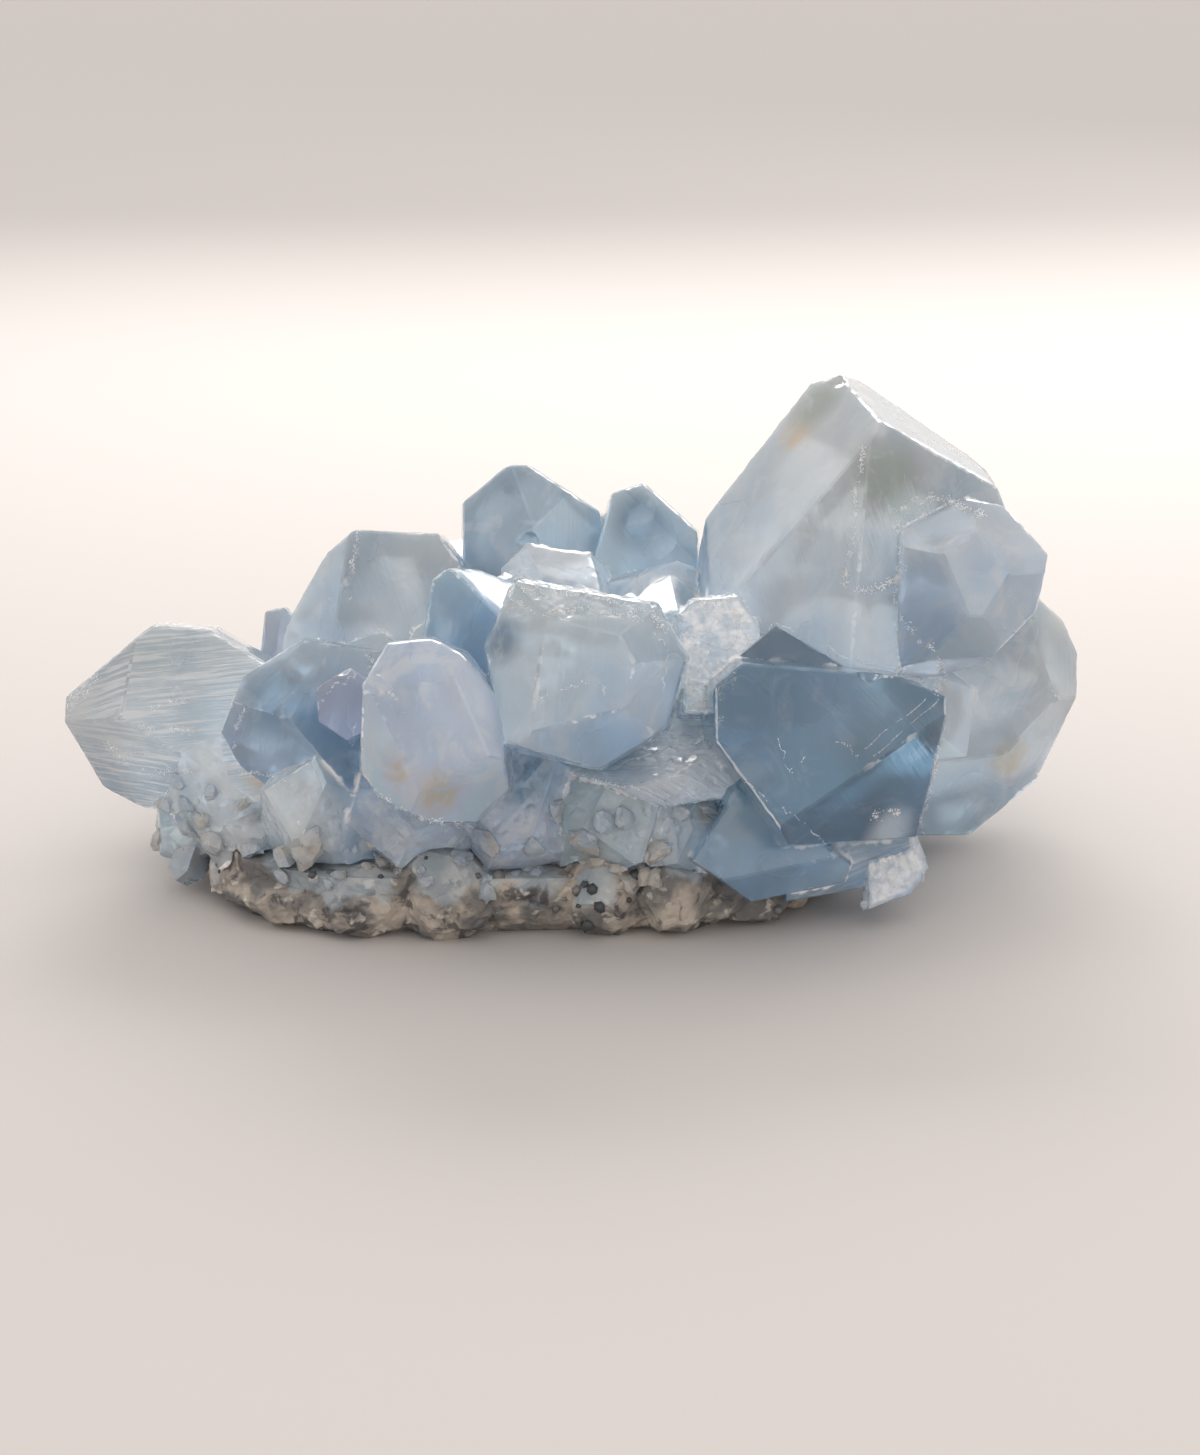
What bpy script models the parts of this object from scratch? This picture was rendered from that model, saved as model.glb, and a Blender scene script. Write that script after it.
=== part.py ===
"""A celestite cluster: one mass of intergrown pale blue crystals on a plate of grey and tan rock.

Run it with blender --background --python part.py, or from the text editor.
The origin is the middle of the cluster on the surface it rests on. +X is right and +Y is away, +Z is up.
"""

import math
import random

import bmesh
import bpy
from mathutils import Matrix, Vector, noise

# Sizes are in millimetres here, and Blender gets metres.
MM = 0.001
BLOCK = 140.0
ROCK_GAP = 0.3
SEAT_SPARE = 0.05
SMALLEST_EDGE = 0.004
GOLDEN_ANGLE = math.pi * (3 - math.sqrt(5))

# Rubbed edges: the strip's width, the least reach of a crystal that has them,
# and how far an edge may turn to the back or down before it counts as sheltered
EDGE_WEAR = 0.35
WORN_SIZE = 8.5
SHELTERED_BACK = -0.2
SHELTERED_BELOW = -0.75

# The mineral: angles in degrees between a crystal's flat side or long axis and its sloping faces,
# and how far each kind of face stands from the heart as a share of the half length
SHOULDER = 52.0
WEDGE = 38.0
SLOPE = 50.6
FLAT_REACH = 0.60
SIDE_REACH = 0.86
SHOULDER_REACH = 0.74
WEDGE_REACH = 0.92
SLOPE_REACH = 0.90
ROOT_REACH = 1.5
GROWTH_SPREAD = (0.88, 1.12)
CELESTITE_IOR = 1.62
LUMP_FACES = 16
LUMP_SPREAD = (0.84, 1.06)

# The crystals' faces are told as an eye sees them from in front and a little above.
EYE_RISE = math.radians(18)
RIGHT = Vector((1, 0, 0))
UP = Vector((0, math.sin(EYE_RISE), math.cos(EYE_RISE)))
NEAR = Vector((0, -math.cos(EYE_RISE), math.sin(EYE_RISE)))

# The rock plate is a lens ringed by rounded lumps, cut flat where it rests.
ROCK_CENTRE = Vector((-5.5, 0.0, 5.0))
ROCK_HALF_WIDTH = 32.5
ROCK_HALF_DEPTH = 23.0
ROCK_HALF_HEIGHT = 7.0
ROCK_LEDGE = 6.5
ROCK_SQUARENESS = 0.62
ROCK_WAVES = 0.08
LUMPS = 27
LUMP_RING = 0.86
LUMP_ROUGHNESS = 0.22
LUMP_WIDTH = (4.4, 6.6)
LUMP_MIDDLE = 0.46
LUMP_STRETCH = 1.2
GRAINS = 18
GRAIN_RING = 0.96
GRAIN_RADIUS = (0.8, 1.7)
GRAIN_HEIGHT = (0.25, 0.55)
# How high the lumps stand along the plate, as (x, height), lowest at the right.
LUMP_HEIGHTS = ((-40.0, 5.0), (-20.0, 6.6), (-14.0, 10.4), (9.0, 10.2), (17.0, 7.6), (30.0, 4.6))

# The lowest that a crystal reaches
CRYSTAL_CLEARANCE = 0.6

# The front crystals: heart (x, y, z), then each flat face as (bearing, lean, reach).
# The bearing is in the front view, 0 to the right and 90 up. The lean turns the face to the eye.
# The reach is how far the face stands from the heart. A crystal narrows both ways from its outline.
FRONT_TAPER = 5.0
BACK_TAPER = 27.0
OUTLINE_SPARE = 0.3
FRONT_CRYSTALS = {
    "tall": (
        (28.8, 4.0, 33.7),
        (
            (142, 33, 10.8), (142, -42, 10.5), (174, 6, 15.0), (97, -4, 16.8), (56, 18, 13.4),
            (56, -35, 13.0), (21, 0, 15.6), (180, 84, 12.0), (-6, 65, 11.0), (60, -88, 13.0),
            (-40, -40, 14.0), (-45, 10, 14.0), (270, 0, 20.0),
        ),
    ),
    "right_bulge": (
        (39.8, -4.0, 31.6),
        (
            (116, 5, 7.7), (80, 0, 7.8), (43, 0, 7.4), (-12, 0, 7.2), (-45, 0, 7.2), (-85, 10, 8.6),
            (180, 0, 7.1), (90, 88, 8.5), (40, 50, 8.2), (-30, 50, 8.3), (120, 45, 8.5),
            (200, 50, 8.0), (-90, 45, 9.0), (0, -80, 8.0), (60, -45, 9.0),
        ),
    ),
    "far_right": (
        (44.0, 6.0, 13.5),
        (
            (49, 0, 13.0), (24, 0, 11.3), (-2, 0, 9.0), (-25, 0, 7.2), (-50, 0, 8.0), (-89, 0, 12.0),
            (180, 0, 10.0), (100, 0, 13.0), (20, 85, 8.0), (20, 50, 10.2), (-40, 45, 7.8),
            (-75, 52, 8.6), (30, -85, 9.0), (0, -45, 9.0), (60, -50, 11.0),
        ),
    ),
    "dark_blue": (
        (24.5, -16.0, 19.0),
        (
            (129, 0, 11.0), (180, 0, 11.4), (216, 0, 9.7), (66, 0, 8.4), (85, 0, 6.7), (34, 0, 12.2),
            (0, 0, 11.8), (-12, 0, 11.2), (-85, 0, 10.6), (60, 82, 10.0), (-49, 45, 10.6), (0, -90, 8.0),
        ),
    ),
    "dark_wedge": (
        (20.2, -12.0, 24.4),
        (
            (129, 0, 3.4), (59, 0, 3.7), (180, 0, 6.4), (0, 0, 7.0), (270, 0, 8.0), (80, 72, 3.8),
            (0, -90, 6.0),
        ),
    ),
    "lower_right": (
        (18.7, -18.0, 8.8),
        (
            (55, 0, 3.4), (145, 0, 5.2), (237, 0, 5.6), (-78, 0, 5.6), (-20, 0, 9.0),
            (40, 80, 6.0), (0, -90, 8.0), (-70, 45, 6.5),
        ),
    ),
    "lower_right_end": (
        (27.9, -15.0, 7.1),
        (
            (60, 0, 7.0), (10, 0, 5.6), (-40, 0, 4.4), (-80, 0, 4.2), (180, 0, 7.0),
            (0, 80, 5.0), (-60, 45, 4.6), (0, -90, 8.0),
        ),
    ),
    "white_block": (
        (32.3, -16.0, 5.9),
        (
            (80, 0, 3.4), (20, 0, 2.7), (-35, 0, 2.9), (-70, 0, 3.4), (180, 0, 3.0), (150, 0, 3.2),
            (0, 80, 3.0), (0, -90, 7.0),
        ),
    ),
    "centre_block": (
        (2.4, -20.0, 25.9),
        (
            (80, 0, 8.2), (30, 0, 8.8), (-15, 0, 8.0), (-60, 0, 7.6), (257, 0, 8.2), (190, 0, 9.8),
            (155, 0, 10.9), (90, 88, 9.0), (78, 48, 9.6), (30, 55, 9.6), (-15, 55, 9.3),
            (-75, 50, 9.2), (170, 55, 10.4), (0, -90, 10.0),
        ),
    ),
    "bright_topped": (
        (-8.1, -8.0, 28.0),
        (
            (171, 0, 6.2), (128, 0, 6.9), (88, 0, 5.3), (73, 0, 5.9), (46, 28, 3.1), (225, 68, 3.3),
            (0, 0, 9.0), (270, 0, 12.0), (0, -90, 8.0),
        ),
    ),
    "left_back": (
        (-18.3, 8.0, 25.1),
        (
            (130, 0, 9.3), (150, 0, 9.4), (172, 0, 11.5), (87, 0, 8.1), (38, 0, 8.4), (8, 0, 7.5),
            (163, 42, 9.1), (80, 80, 7.0), (270, 0, 14.0), (60, -80, 7.5), (130, -45, 8.8),
        ),
    ),
    "middle_back": (
        (-3.6, 16.0, 28.5),
        (
            (180, 0, 8.3), (129, 0, 9.9), (88, 0, 9.9), (57, 0, 7.8), (10, 0, 7.4), (70, 60, 9.0),
            (150, 60, 8.6), (20, 60, 8.0), (270, 0, 16.0), (90, -80, 8.0), (40, -45, 9.0),
        ),
    ),
    "small_back": (
        (7.8, 14.0, 29.0),
        (
            (109, 0, 7.8), (48, 0, 5.9), (2, 0, 5.6), (165, 0, 5.4), (50, 50, 6.2), (100, 85, 5.2),
            (270, 0, 14.0), (60, -80, 6.0),
        ),
    ),
    "lilac": (
        (-12.5, -22.0, 21.0),
        (
            (96, 0, 9.2), (66, 0, 8.2), (38, 0, 6.9), (4, 0, 6.6), (-46, 0, 8.5), (-87, 0, 8.4),
            (247, 0, 7.9), (217, 0, 8.0), (178, 0, 7.3), (149, 0, 8.6), (90, 85, 7.4), (100, 50, 8.6),
            (30, 55, 8.2), (-60, 50, 8.6), (200, 55, 8.2), (0, -90, 10.0),
        ),
    ),
    "left_dark": (
        (-26.7, -10.0, 18.6),
        (
            (158, 0, 7.0), (122, 0, 6.8), (80, 0, 8.0), (210, 0, 7.6), (225, 50, 6.6), (110, 55, 7.0),
            (30, 60, 7.0), (0, 0, 8.0), (270, 0, 8.0), (0, -90, 8.0),
        ),
    ),
    "purple_small": (
        (-21.7, -20.0, 23.1),
        (
            (120, 0, 2.8), (185, 0, 2.3), (235, 0, 2.3), (60, 0, 3.4), (0, 0, 3.4), (-60, 0, 3.0),
            (140, 70, 2.4), (0, -90, 6.0),
        ),
    ),
    "left_tip": (
        (-42.1, -2.0, 17.2),
        (
            (129, 0, 7.1), (85, 0, 8.8), (60, 0, 10.0), (180, 0, 9.6), (209, 0, 9.0), (243, 0, 9.7),
            (270, 0, 10.0), (0, 0, 13.0), (150, 55, 8.6), (90, 75, 8.4), (230, 50, 8.6),
            (100, -60, 8.0), (200, -60, 8.6), (0, -90, 9.0),
        ),
    ),
    "spike": (
        (-31.1, 10.0, 21.2),
        (
            (100, 0, 3.2), (175, 0, 1.9), (40, 0, 2.4), (0, 0, 3.0), (90, 80, 2.4), (270, 0, 9.0),
            (0, -90, 3.0),
        ),
    ),
    "silver": (
        (9.8, -16.0, 16.4),
        (
            (100, 35, 3.0), (60, 20, 7.0), (-40, 0, 6.4), (-80, 0, 4.5), (250, 0, 4.6), (180, 0, 10.0),
            (20, 60, 6.4), (0, -90, 6.0), (-70, 60, 7.0),
        ),
    ),
    "sparkle": (
        (14.4, -8.0, 27.5),
        (
            (95, 0, 3.2), (35, 0, 3.8), (130, 0, 3.8), (180, 0, 4.0), (0, 0, 4.4), (80, 60, 3.8),
            (270, 0, 9.0), (0, -90, 6.0),
        ),
    ),
}

# The massive base between the crystals and the rock: heart (x, y, z), then its half size.
BASE_LUMPS = (
    (-38.5, -6.0, 5.8, 4.2), (-31.6, -11.0, 6.0, 5.0), (-24.2, -14.5, 10.4, 6.6),
    (-15.0, -16.5, 11.4, 6.6), (-5.0, -16.5, 12.4, 7.0), (3.2, -17.0, 10.2, 6.2),
    (11.0, -17.0, 8.8, 5.6), (-33.8, -7.0, 11.6, 7.4), (16.0, -16.0, 7.6, 4.8),
    (-21.0, 0.0, 15.0, 10.0), (-6.0, 0.0, 18.0, 12.0), (10.0, -1.0, 17.0, 12.0),
    (25.0, -1.0, 15.0, 12.0), (35.0, 3.0, 15.0, 8.0), (-20.0, 14.0, 13.0, 9.0),
    (-1.0, 5.0, 24.0, 8.0), (9.0, 4.0, 23.0, 7.6), (21.0, -2.0, 22.0, 7.6),
    (-4.0, 15.0, 15.0, 11.0), (13.0, 14.0, 15.0, 11.0), (28.0, 12.0, 14.0, 10.0),
    (-34.0, 8.0, 9.0, 6.6), (-26.0, 19.0, 9.0, 7.0), (-8.0, 22.0, 9.5, 7.5),
    (9.0, 22.0, 9.0, 7.5), (24.0, 18.0, 8.0, 7.0),
)

# Crystals that fill between the front ones and stand over the sides and the back.
# Each is heart (x, y, z), bearing and rise of its long axis, its turn, its half length.
GROWN_CRYSTALS = (
    (-36.0, 14.0, 10.5, 150, 24, 15, 8.2),
    (-25.0, 22.0, 15.0, 122, 38, 70, 8.6),
    (-12.0, 26.0, 18.0, 100, 34, 25, 8.4),
    (2.0, 25.0, 20.5, 84, 44, 60, 9.4),
    (15.0, 27.0, 17.0, 80, 24, 10, 8.8),
    (20.0, 16.0, 26.0, 58, 58, 40, 8.6),
    (30.0, 21.0, 20.0, 52, 30, 80, 9.2),
    (42.0, 15.0, 12.0, 22, 14, 30, 7.4),
    (-12.0, 17.0, 23.0, 118, 62, 50, 6.6),
    (-2.0, 30.0, 11.0, 96, 4, 40, 6.6),
    (-20.0, 27.0, 9.0, 118, 8, 65, 6.0),
    (24.0, 27.0, 9.0, 64, 6, 20, 6.6),
)


def facing(bearing, lean):
    """The direction that a face looks in, from its bearing and lean in degrees."""
    b = math.radians(bearing)
    t = math.radians(lean)
    return (RIGHT * math.cos(b) + UP * math.sin(b)) * math.cos(t) + NEAR * math.sin(t)


def slice_off(shape, point, direction):
    """Cuts away what lies beyond the plane and closes the cut with one flat face."""
    cut = bmesh.ops.bisect_plane(
        shape,
        geom=shape.verts[:] + shape.edges[:] + shape.faces[:],
        dist=1e-5,
        plane_co=point,
        plane_no=direction,
        clear_outer=True,
    )
    rim = [part for part in cut["geom_cut"] if isinstance(part, bmesh.types.BMEdge)]
    if rim:
        bmesh.ops.contextual_create(shape, geom=rim)


def wear_edges(shape, width):
    """Takes a narrow flat strip off every edge that stands free, as rubbing does."""
    strips = []
    for edge in shape.edges:
        first, second = (face.normal for face in edge.link_faces)
        outward = (first + second).normalized()
        if outward.dot(NEAR) < SHELTERED_BACK or outward.dot(UP) < SHELTERED_BELOW:
            continue
        depth = width / 2 * math.tan(first.angle(second) / 2)
        strips.append((edge.verts[0].co - outward * depth, outward))
    for point, outward in strips:
        slice_off(shape, point, outward)


def cut_block(heart, faces, wear):
    """A convex crystal: a block cut down by faces given as (outward direction, reach)."""
    shape = bmesh.new()
    bmesh.ops.create_cube(shape, size=BLOCK)
    for outward, reach in faces:
        slice_off(shape, outward * reach, outward)
    shape.normal_update()
    if wear:
        wear_edges(shape, wear)
    bmesh.ops.translate(shape, verts=shape.verts, vec=Vector(heart))
    return shape


def measured_crystal(heart, faces):
    """One of the front crystals. A face with no lean is a place in its outline, where two faces meet."""
    planes = []
    for bearing, lean, reach in faces:
        if lean:
            planes.append((facing(bearing, lean), reach))
            continue
        for tilt in (FRONT_TAPER, -BACK_TAPER):
            leaned = (reach + OUTLINE_SPARE) * math.cos(math.radians(tilt))
            planes.append((facing(bearing, tilt), leaned))
    size = max(reach for bearing, lean, reach in faces if lean >= 0)
    return cut_block(heart, planes, EDGE_WEAR if size > WORN_SIZE else 0)


def tilted(start, towards, angle):
    """A direction turned from one axis towards another that is square to it."""
    return start * math.cos(math.radians(angle)) + towards * math.sin(math.radians(angle))


def grown_crystal(heart, bearing, rise, turn, half_length, chance):
    """A crystal of the mineral's own habit: flat sides, sloping shoulders and a wedge at the end."""
    b, r = math.radians(bearing), math.radians(rise)
    along = Vector((math.cos(b) * math.cos(r), math.sin(b) * math.cos(r), math.sin(r)))
    side = along.orthogonal().normalized()
    side = Matrix.Rotation(math.radians(turn), 3, along) @ side
    flat = along.cross(side)
    planes = []
    for sign in (-1, 1):
        planes.append((flat * sign, FLAT_REACH))
        planes.append((side * sign, SIDE_REACH))
        for other in (-1, 1):
            planes.append((tilted(flat * sign, side * other, SHOULDER), SHOULDER_REACH))
        planes.append((tilted(along, side * sign, WEDGE), WEDGE_REACH))
        planes.append((tilted(along, flat * sign, SLOPE), SLOPE_REACH))
    planes.append((-along, ROOT_REACH))
    grown = [(way, reach * half_length * chance.uniform(*GROWTH_SPREAD)) for way, reach in planes]
    return cut_block(heart, grown, 0)


def base_lump(x, y, z, half_size, chance):
    """A rough block of the massive base, with flat faces spread evenly all round."""
    planes = []
    for k in range(LUMP_FACES):
        height = 1 - (2 * k + 1) / LUMP_FACES
        around = k * GOLDEN_ANGLE + x
        width = math.sqrt(1 - height * height)
        way = Vector((math.cos(around) * width, math.sin(around) * width, height))
        planes.append((way, half_size * chance.uniform(*LUMP_SPREAD)))
    return cut_block((x, y, z), planes, 0)


def lump_height(x):
    """How high the rock's rim stands at a place along the plate."""
    for (x0, low), (x1, high) in zip(LUMP_HEIGHTS, LUMP_HEIGHTS[1:]):
        if x <= x1:
            return low + (high - low) * max(0.0, (x - x0) / (x1 - x0))
    return LUMP_HEIGHTS[-1][1]


def squared(value):
    """Pushes a share of a round shape outwards, which makes the shape more square."""
    return math.copysign(abs(value) ** ROCK_SQUARENESS, value)


def rim_place(around, share):
    """A point over the plate at a share of the way out to its rim."""
    x = share * squared(math.cos(around)) * ROCK_HALF_WIDTH
    y = share * squared(math.sin(around)) * ROCK_HALF_DEPTH
    return Vector((ROCK_CENTRE.x + x, ROCK_CENTRE.y + y, 0))


def cut_at_floor(shape, swell):
    """Makes the shape flat where it rests, or lower by the swell."""
    slice_off(shape, Vector((0, 0, -swell)), Vector((0, 0, -1)))


def rock_plate(swell):
    """The lens of rock. A swell makes it larger all round, to cut its seat in the crystals."""
    shape = bmesh.new()
    bmesh.ops.create_icosphere(shape, subdivisions=3, radius=1)
    for vert in shape.verts:
        way = vert.co.normalized()
        wave = 1 + ROCK_WAVES * noise.noise(way * 2.3)
        x = wave * squared(way.x) * ROCK_HALF_WIDTH
        y = wave * squared(way.y) * ROCK_HALF_DEPTH
        z = wave * squared(way.z) * ROCK_HALF_HEIGHT
        vert.co = ROCK_CENTRE + Vector((x, y, z)) + way * swell
    slice_off(shape, Vector((0, 0, ROCK_LEDGE + swell)), Vector((0, 0, 1)))
    cut_at_floor(shape, swell)
    return shape


def rock_lumps(swell):
    """Rounded lumps of rock side by side round the rim."""
    chance = random.Random(11)
    lumps = []
    for k in range(LUMPS):
        around = 2 * math.pi * (k + chance.uniform(-0.25, 0.25)) / LUMPS
        place = rim_place(around, LUMP_RING * chance.uniform(0.95, 1.03))
        top = lump_height(place.x) * chance.uniform(0.9, 1.05)
        place.z = top * LUMP_MIDDLE
        wide = chance.uniform(*LUMP_WIDTH)
        size = Vector((wide, wide * chance.uniform(0.7, 0.9), top * (1 - LUMP_MIDDLE)))
        lumps.append(pebble(place, size + Vector((swell, swell, swell)), chance, LUMP_ROUGHNESS))
        cut_at_floor(lumps[-1], swell)
    return lumps


def rock_grains(swell):
    """Small rounded grains that stand out of the lumps low on the rim, spaced by a golden angle."""
    chance = random.Random(5)
    grains = []
    for k in range(GRAINS):
        place = rim_place(k * GOLDEN_ANGLE, GRAIN_RING)
        radius = chance.uniform(*GRAIN_RADIUS)
        place.z = chance.uniform(*GRAIN_HEIGHT) * lump_height(place.x)
        size = Vector((radius * LUMP_STRETCH, radius, radius)) + Vector((swell, swell, swell))
        grains.append(pebble(place, size, chance, 0))
        cut_at_floor(grains[-1], swell)
    return grains


def pebble(place, size, chance, roughness):
    """A rounded stone, a little uneven, turned at random about the upright."""
    shape = bmesh.new()
    bmesh.ops.create_icosphere(shape, subdivisions=2, radius=1)
    for vert in shape.verts:
        vert.co *= 1 + roughness * noise.noise(vert.co * 1.7 + place)
    bmesh.ops.scale(shape, verts=shape.verts, vec=size)
    turn = Matrix.Rotation(chance.uniform(0, math.pi), 3, "Z")
    bmesh.ops.rotate(shape, verts=shape.verts, matrix=turn)
    bmesh.ops.translate(shape, verts=shape.verts, vec=place)
    return shape


def add_object(name, shape, material):
    """Turns a shape in millimetres into an object in metres."""
    bmesh.ops.scale(shape, verts=shape.verts, vec=(MM, MM, MM))
    bmesh.ops.recalc_face_normals(shape, faces=shape.faces)
    mesh = bpy.data.meshes.new(name)
    shape.to_mesh(mesh)
    shape.free()
    mesh.materials.append(material)
    made = bpy.data.objects.new(name, mesh)
    bpy.context.scene.collection.objects.link(made)
    return made


def joined(target, others, operation):
    """Unites the others with the target, or takes them away from it, and uses them up."""
    group = bpy.data.collections.new(target.name + "_" + operation.lower())
    bpy.context.scene.collection.children.link(group)
    for other in others:
        group.objects.link(other)
    change = target.modifiers.new(operation.title(), "BOOLEAN")
    change.operation = operation
    change.solver = "EXACT"
    change.operand_type = "COLLECTION"
    change.collection = group
    bpy.context.view_layer.update()
    seen = target.evaluated_get(bpy.context.evaluated_depsgraph_get())
    result = bpy.data.meshes.new_from_object(seen)
    target.modifiers.remove(change)
    target.data = result
    for other in others:
        bpy.data.objects.remove(other)
    bpy.data.collections.remove(group)


def keep_largest_body(target):
    """Closes tiny gaps between corners, then drops chips and inner shells that the cutting left."""
    shape = bmesh.new()
    shape.from_mesh(target.data)
    bmesh.ops.remove_doubles(shape, verts=shape.verts, dist=SMALLEST_EDGE * MM)
    bmesh.ops.dissolve_degenerate(shape, edges=shape.edges, dist=SMALLEST_EDGE * MM)
    waiting = set(shape.verts)
    bodies = []
    while waiting:
        body = set()
        front = [waiting.pop()]
        while front:
            vert = front.pop()
            body.add(vert)
            for edge in vert.link_edges:
                other = edge.other_vert(vert)
                if other in waiting:
                    waiting.remove(other)
                    front.append(other)
        bodies.append(body)
    bodies.sort(key=len)
    for body in bodies[:-1]:
        bmesh.ops.delete(shape, geom=list(body), context="VERTS")
    bmesh.ops.triangulate(shape, faces=shape.faces)
    shape.to_mesh(target.data)
    shape.free()
    target.data.update()


def plain_material(name, colour, roughness, clear=0):
    """A Principled material, see-through by its share of clear."""
    material = bpy.data.materials.new(name)
    material.use_nodes = True
    surface = material.node_tree.nodes["Principled BSDF"]
    surface.inputs["Base Color"].default_value = (*colour, 1)
    surface.inputs["Roughness"].default_value = roughness
    surface.inputs["Transmission Weight"].default_value = clear
    surface.inputs["IOR"].default_value = CELESTITE_IOR if clear else 1.5
    return material


def clear_scene():
    """Empties the scene that the script starts in."""
    for old in list(bpy.data.objects):
        bpy.data.objects.remove(old)


def make_matrix(material, swell=0.0):
    """The rock plate with its lumps and grains, as one solid."""
    shapes = rock_lumps(swell) + rock_grains(swell)
    rock = add_object("matrix", rock_plate(swell), material)
    joined(rock, [add_object("lump", shape, material) for shape in shapes], "UNION")
    return rock


def make_crystals(material):
    """All the crystals and their massive base, grown together as one solid."""
    chance = random.Random(3)
    shapes = [measured_crystal(heart, faces) for heart, faces in FRONT_CRYSTALS.values()]
    shapes += [base_lump(*lump, chance) for lump in BASE_LUMPS]
    for x, y, z, bearing, rise, turn, half_length in GROWN_CRYSTALS:
        shapes.append(grown_crystal((x, y, z), bearing, rise, turn, half_length, chance))
    crystals, *others = [add_object("crystals", shape, material) for shape in shapes]
    joined(crystals, others, "UNION")
    return crystals


def trim_under(target, height):
    """Cuts off what hangs lower than a height."""
    shape = bmesh.new()
    shape.from_mesh(target.data)
    slice_off(shape, Vector((0, 0, height * MM)), Vector((0, 0, -1)))
    shape.to_mesh(target.data)
    shape.free()


def centre_over_origin(objects):
    """Moves the model so that the middle of its box is over the origin."""
    points = [vert.co for made in objects for vert in made.data.vertices]
    middle = Vector((0, 0, 0))
    for axis in (0, 1):
        values = [point[axis] for point in points]
        middle[axis] = (min(values) + max(values)) / 2
    for made in objects:
        made.data.transform(Matrix.Translation(-middle))
        made.data.update()


def main():
    clear_scene()
    celestite = plain_material("celestite", (0.45, 0.58, 0.68), 0.15, clear=0.8)
    stone = plain_material("rock", (0.30, 0.26, 0.22), 0.9)
    crystals = make_crystals(celestite)
    seat = make_matrix(stone, ROCK_GAP + SEAT_SPARE)
    joined(crystals, [seat], "DIFFERENCE")
    trim_under(crystals, CRYSTAL_CLEARANCE)
    matrix = make_matrix(stone)
    keep_largest_body(crystals)
    keep_largest_body(matrix)
    centre_over_origin((crystals, matrix))


if __name__ == "__main__":
    main()
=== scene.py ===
"""The looks of a celestite cluster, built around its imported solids.

Lengths are in millimetres here, and Blender gets metres.
"""

import math
import random
from collections import namedtuple

import bmesh
import bpy
import numpy as np
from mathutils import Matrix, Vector, kdtree, noise
from mathutils.bvhtree import BVHTree
from mathutils.geometry import delaunay_2d_cdt


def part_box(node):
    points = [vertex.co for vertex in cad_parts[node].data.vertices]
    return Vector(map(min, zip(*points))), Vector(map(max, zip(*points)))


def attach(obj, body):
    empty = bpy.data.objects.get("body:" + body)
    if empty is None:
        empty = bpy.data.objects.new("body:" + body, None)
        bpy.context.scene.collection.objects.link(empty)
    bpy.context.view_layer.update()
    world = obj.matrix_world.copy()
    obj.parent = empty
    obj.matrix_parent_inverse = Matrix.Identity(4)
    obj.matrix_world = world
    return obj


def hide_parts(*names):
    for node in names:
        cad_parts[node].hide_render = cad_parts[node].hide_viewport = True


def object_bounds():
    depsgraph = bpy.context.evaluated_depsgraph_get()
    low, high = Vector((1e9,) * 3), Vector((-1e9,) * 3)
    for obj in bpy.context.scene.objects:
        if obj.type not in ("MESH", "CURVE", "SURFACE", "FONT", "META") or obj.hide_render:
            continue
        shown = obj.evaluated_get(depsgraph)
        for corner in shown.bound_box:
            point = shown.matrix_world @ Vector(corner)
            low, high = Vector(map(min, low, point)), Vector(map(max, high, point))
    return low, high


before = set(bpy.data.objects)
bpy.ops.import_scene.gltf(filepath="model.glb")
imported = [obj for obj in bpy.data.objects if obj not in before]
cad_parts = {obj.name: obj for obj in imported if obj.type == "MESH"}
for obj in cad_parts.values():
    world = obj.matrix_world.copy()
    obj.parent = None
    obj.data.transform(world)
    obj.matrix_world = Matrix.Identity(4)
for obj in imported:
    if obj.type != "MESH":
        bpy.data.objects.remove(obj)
cad_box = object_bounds()
MM = 0.001


# The camera
# It looks a little down on the cluster from in front, close by.
# Marks on the crystals are placed through it, by where they show in a picture of this size.

PICTURE = (1200, 1455)
SENSOR = 36.0
LENS = 66.29
EYE_RISE = math.radians(18)
EYE = Vector((2.127, -269.9, 101.13))
EYE_RIGHT = Vector((1, 0, 0))
EYE_UP = Vector((0, math.sin(EYE_RISE), math.cos(EYE_RISE)))
EYE_BACK = Vector((0, -math.cos(EYE_RISE), math.sin(EYE_RISE)))

camera_lens = bpy.data.cameras.new("camera")
camera_lens.sensor_width = SENSOR
camera_lens.lens = LENS
camera_lens.clip_start = 0.01
camera = bpy.data.objects.new("camera", camera_lens)
camera.location = EYE * MM
camera.rotation_euler = (math.pi / 2 - EYE_RISE, 0, 0)
bpy.context.scene.collection.objects.link(camera)
bpy.context.scene.camera = camera


def sight(across, down):
    """The direction from the camera through a place in the picture."""
    scale = SENSOR / LENS / PICTURE[1]
    x = (across - PICTURE[0] / 2) * scale
    y = (PICTURE[1] / 2 - down) * scale
    return (EYE_RIGHT * x + EYE_UP * y - EYE_BACK).normalized()


# The crystals
# One mass of celestite crystals that grew into each other: clear to milky, blue to lilac grey.
# Flat growth faces with fine steps, chipped edges, and broken places that sparkle.

# How far the crystal bends light, the share that passes, and how deep the rest glows in it
CELESTITE_IOR = 1.62
CELESTITE_CLEARNESS = 0.58
GLOW_DEPTH = 4
# Its cloudy depths, milk, growth lines and frost, and what is left of light that passes
DEPTH_TINT = (0.66, 0.77, 0.88, 1)
MILK_COLOUR = (0.86, 0.87, 0.88, 1)
LINE_COLOUR = (0.93, 0.94, 0.95, 1)
FROST_COLOUR = (0.84, 0.84, 0.85, 1)
PASSED_COLOUR, PASSED_DENSITY = (0.40, 0.64, 0.82, 1), 9

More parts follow.
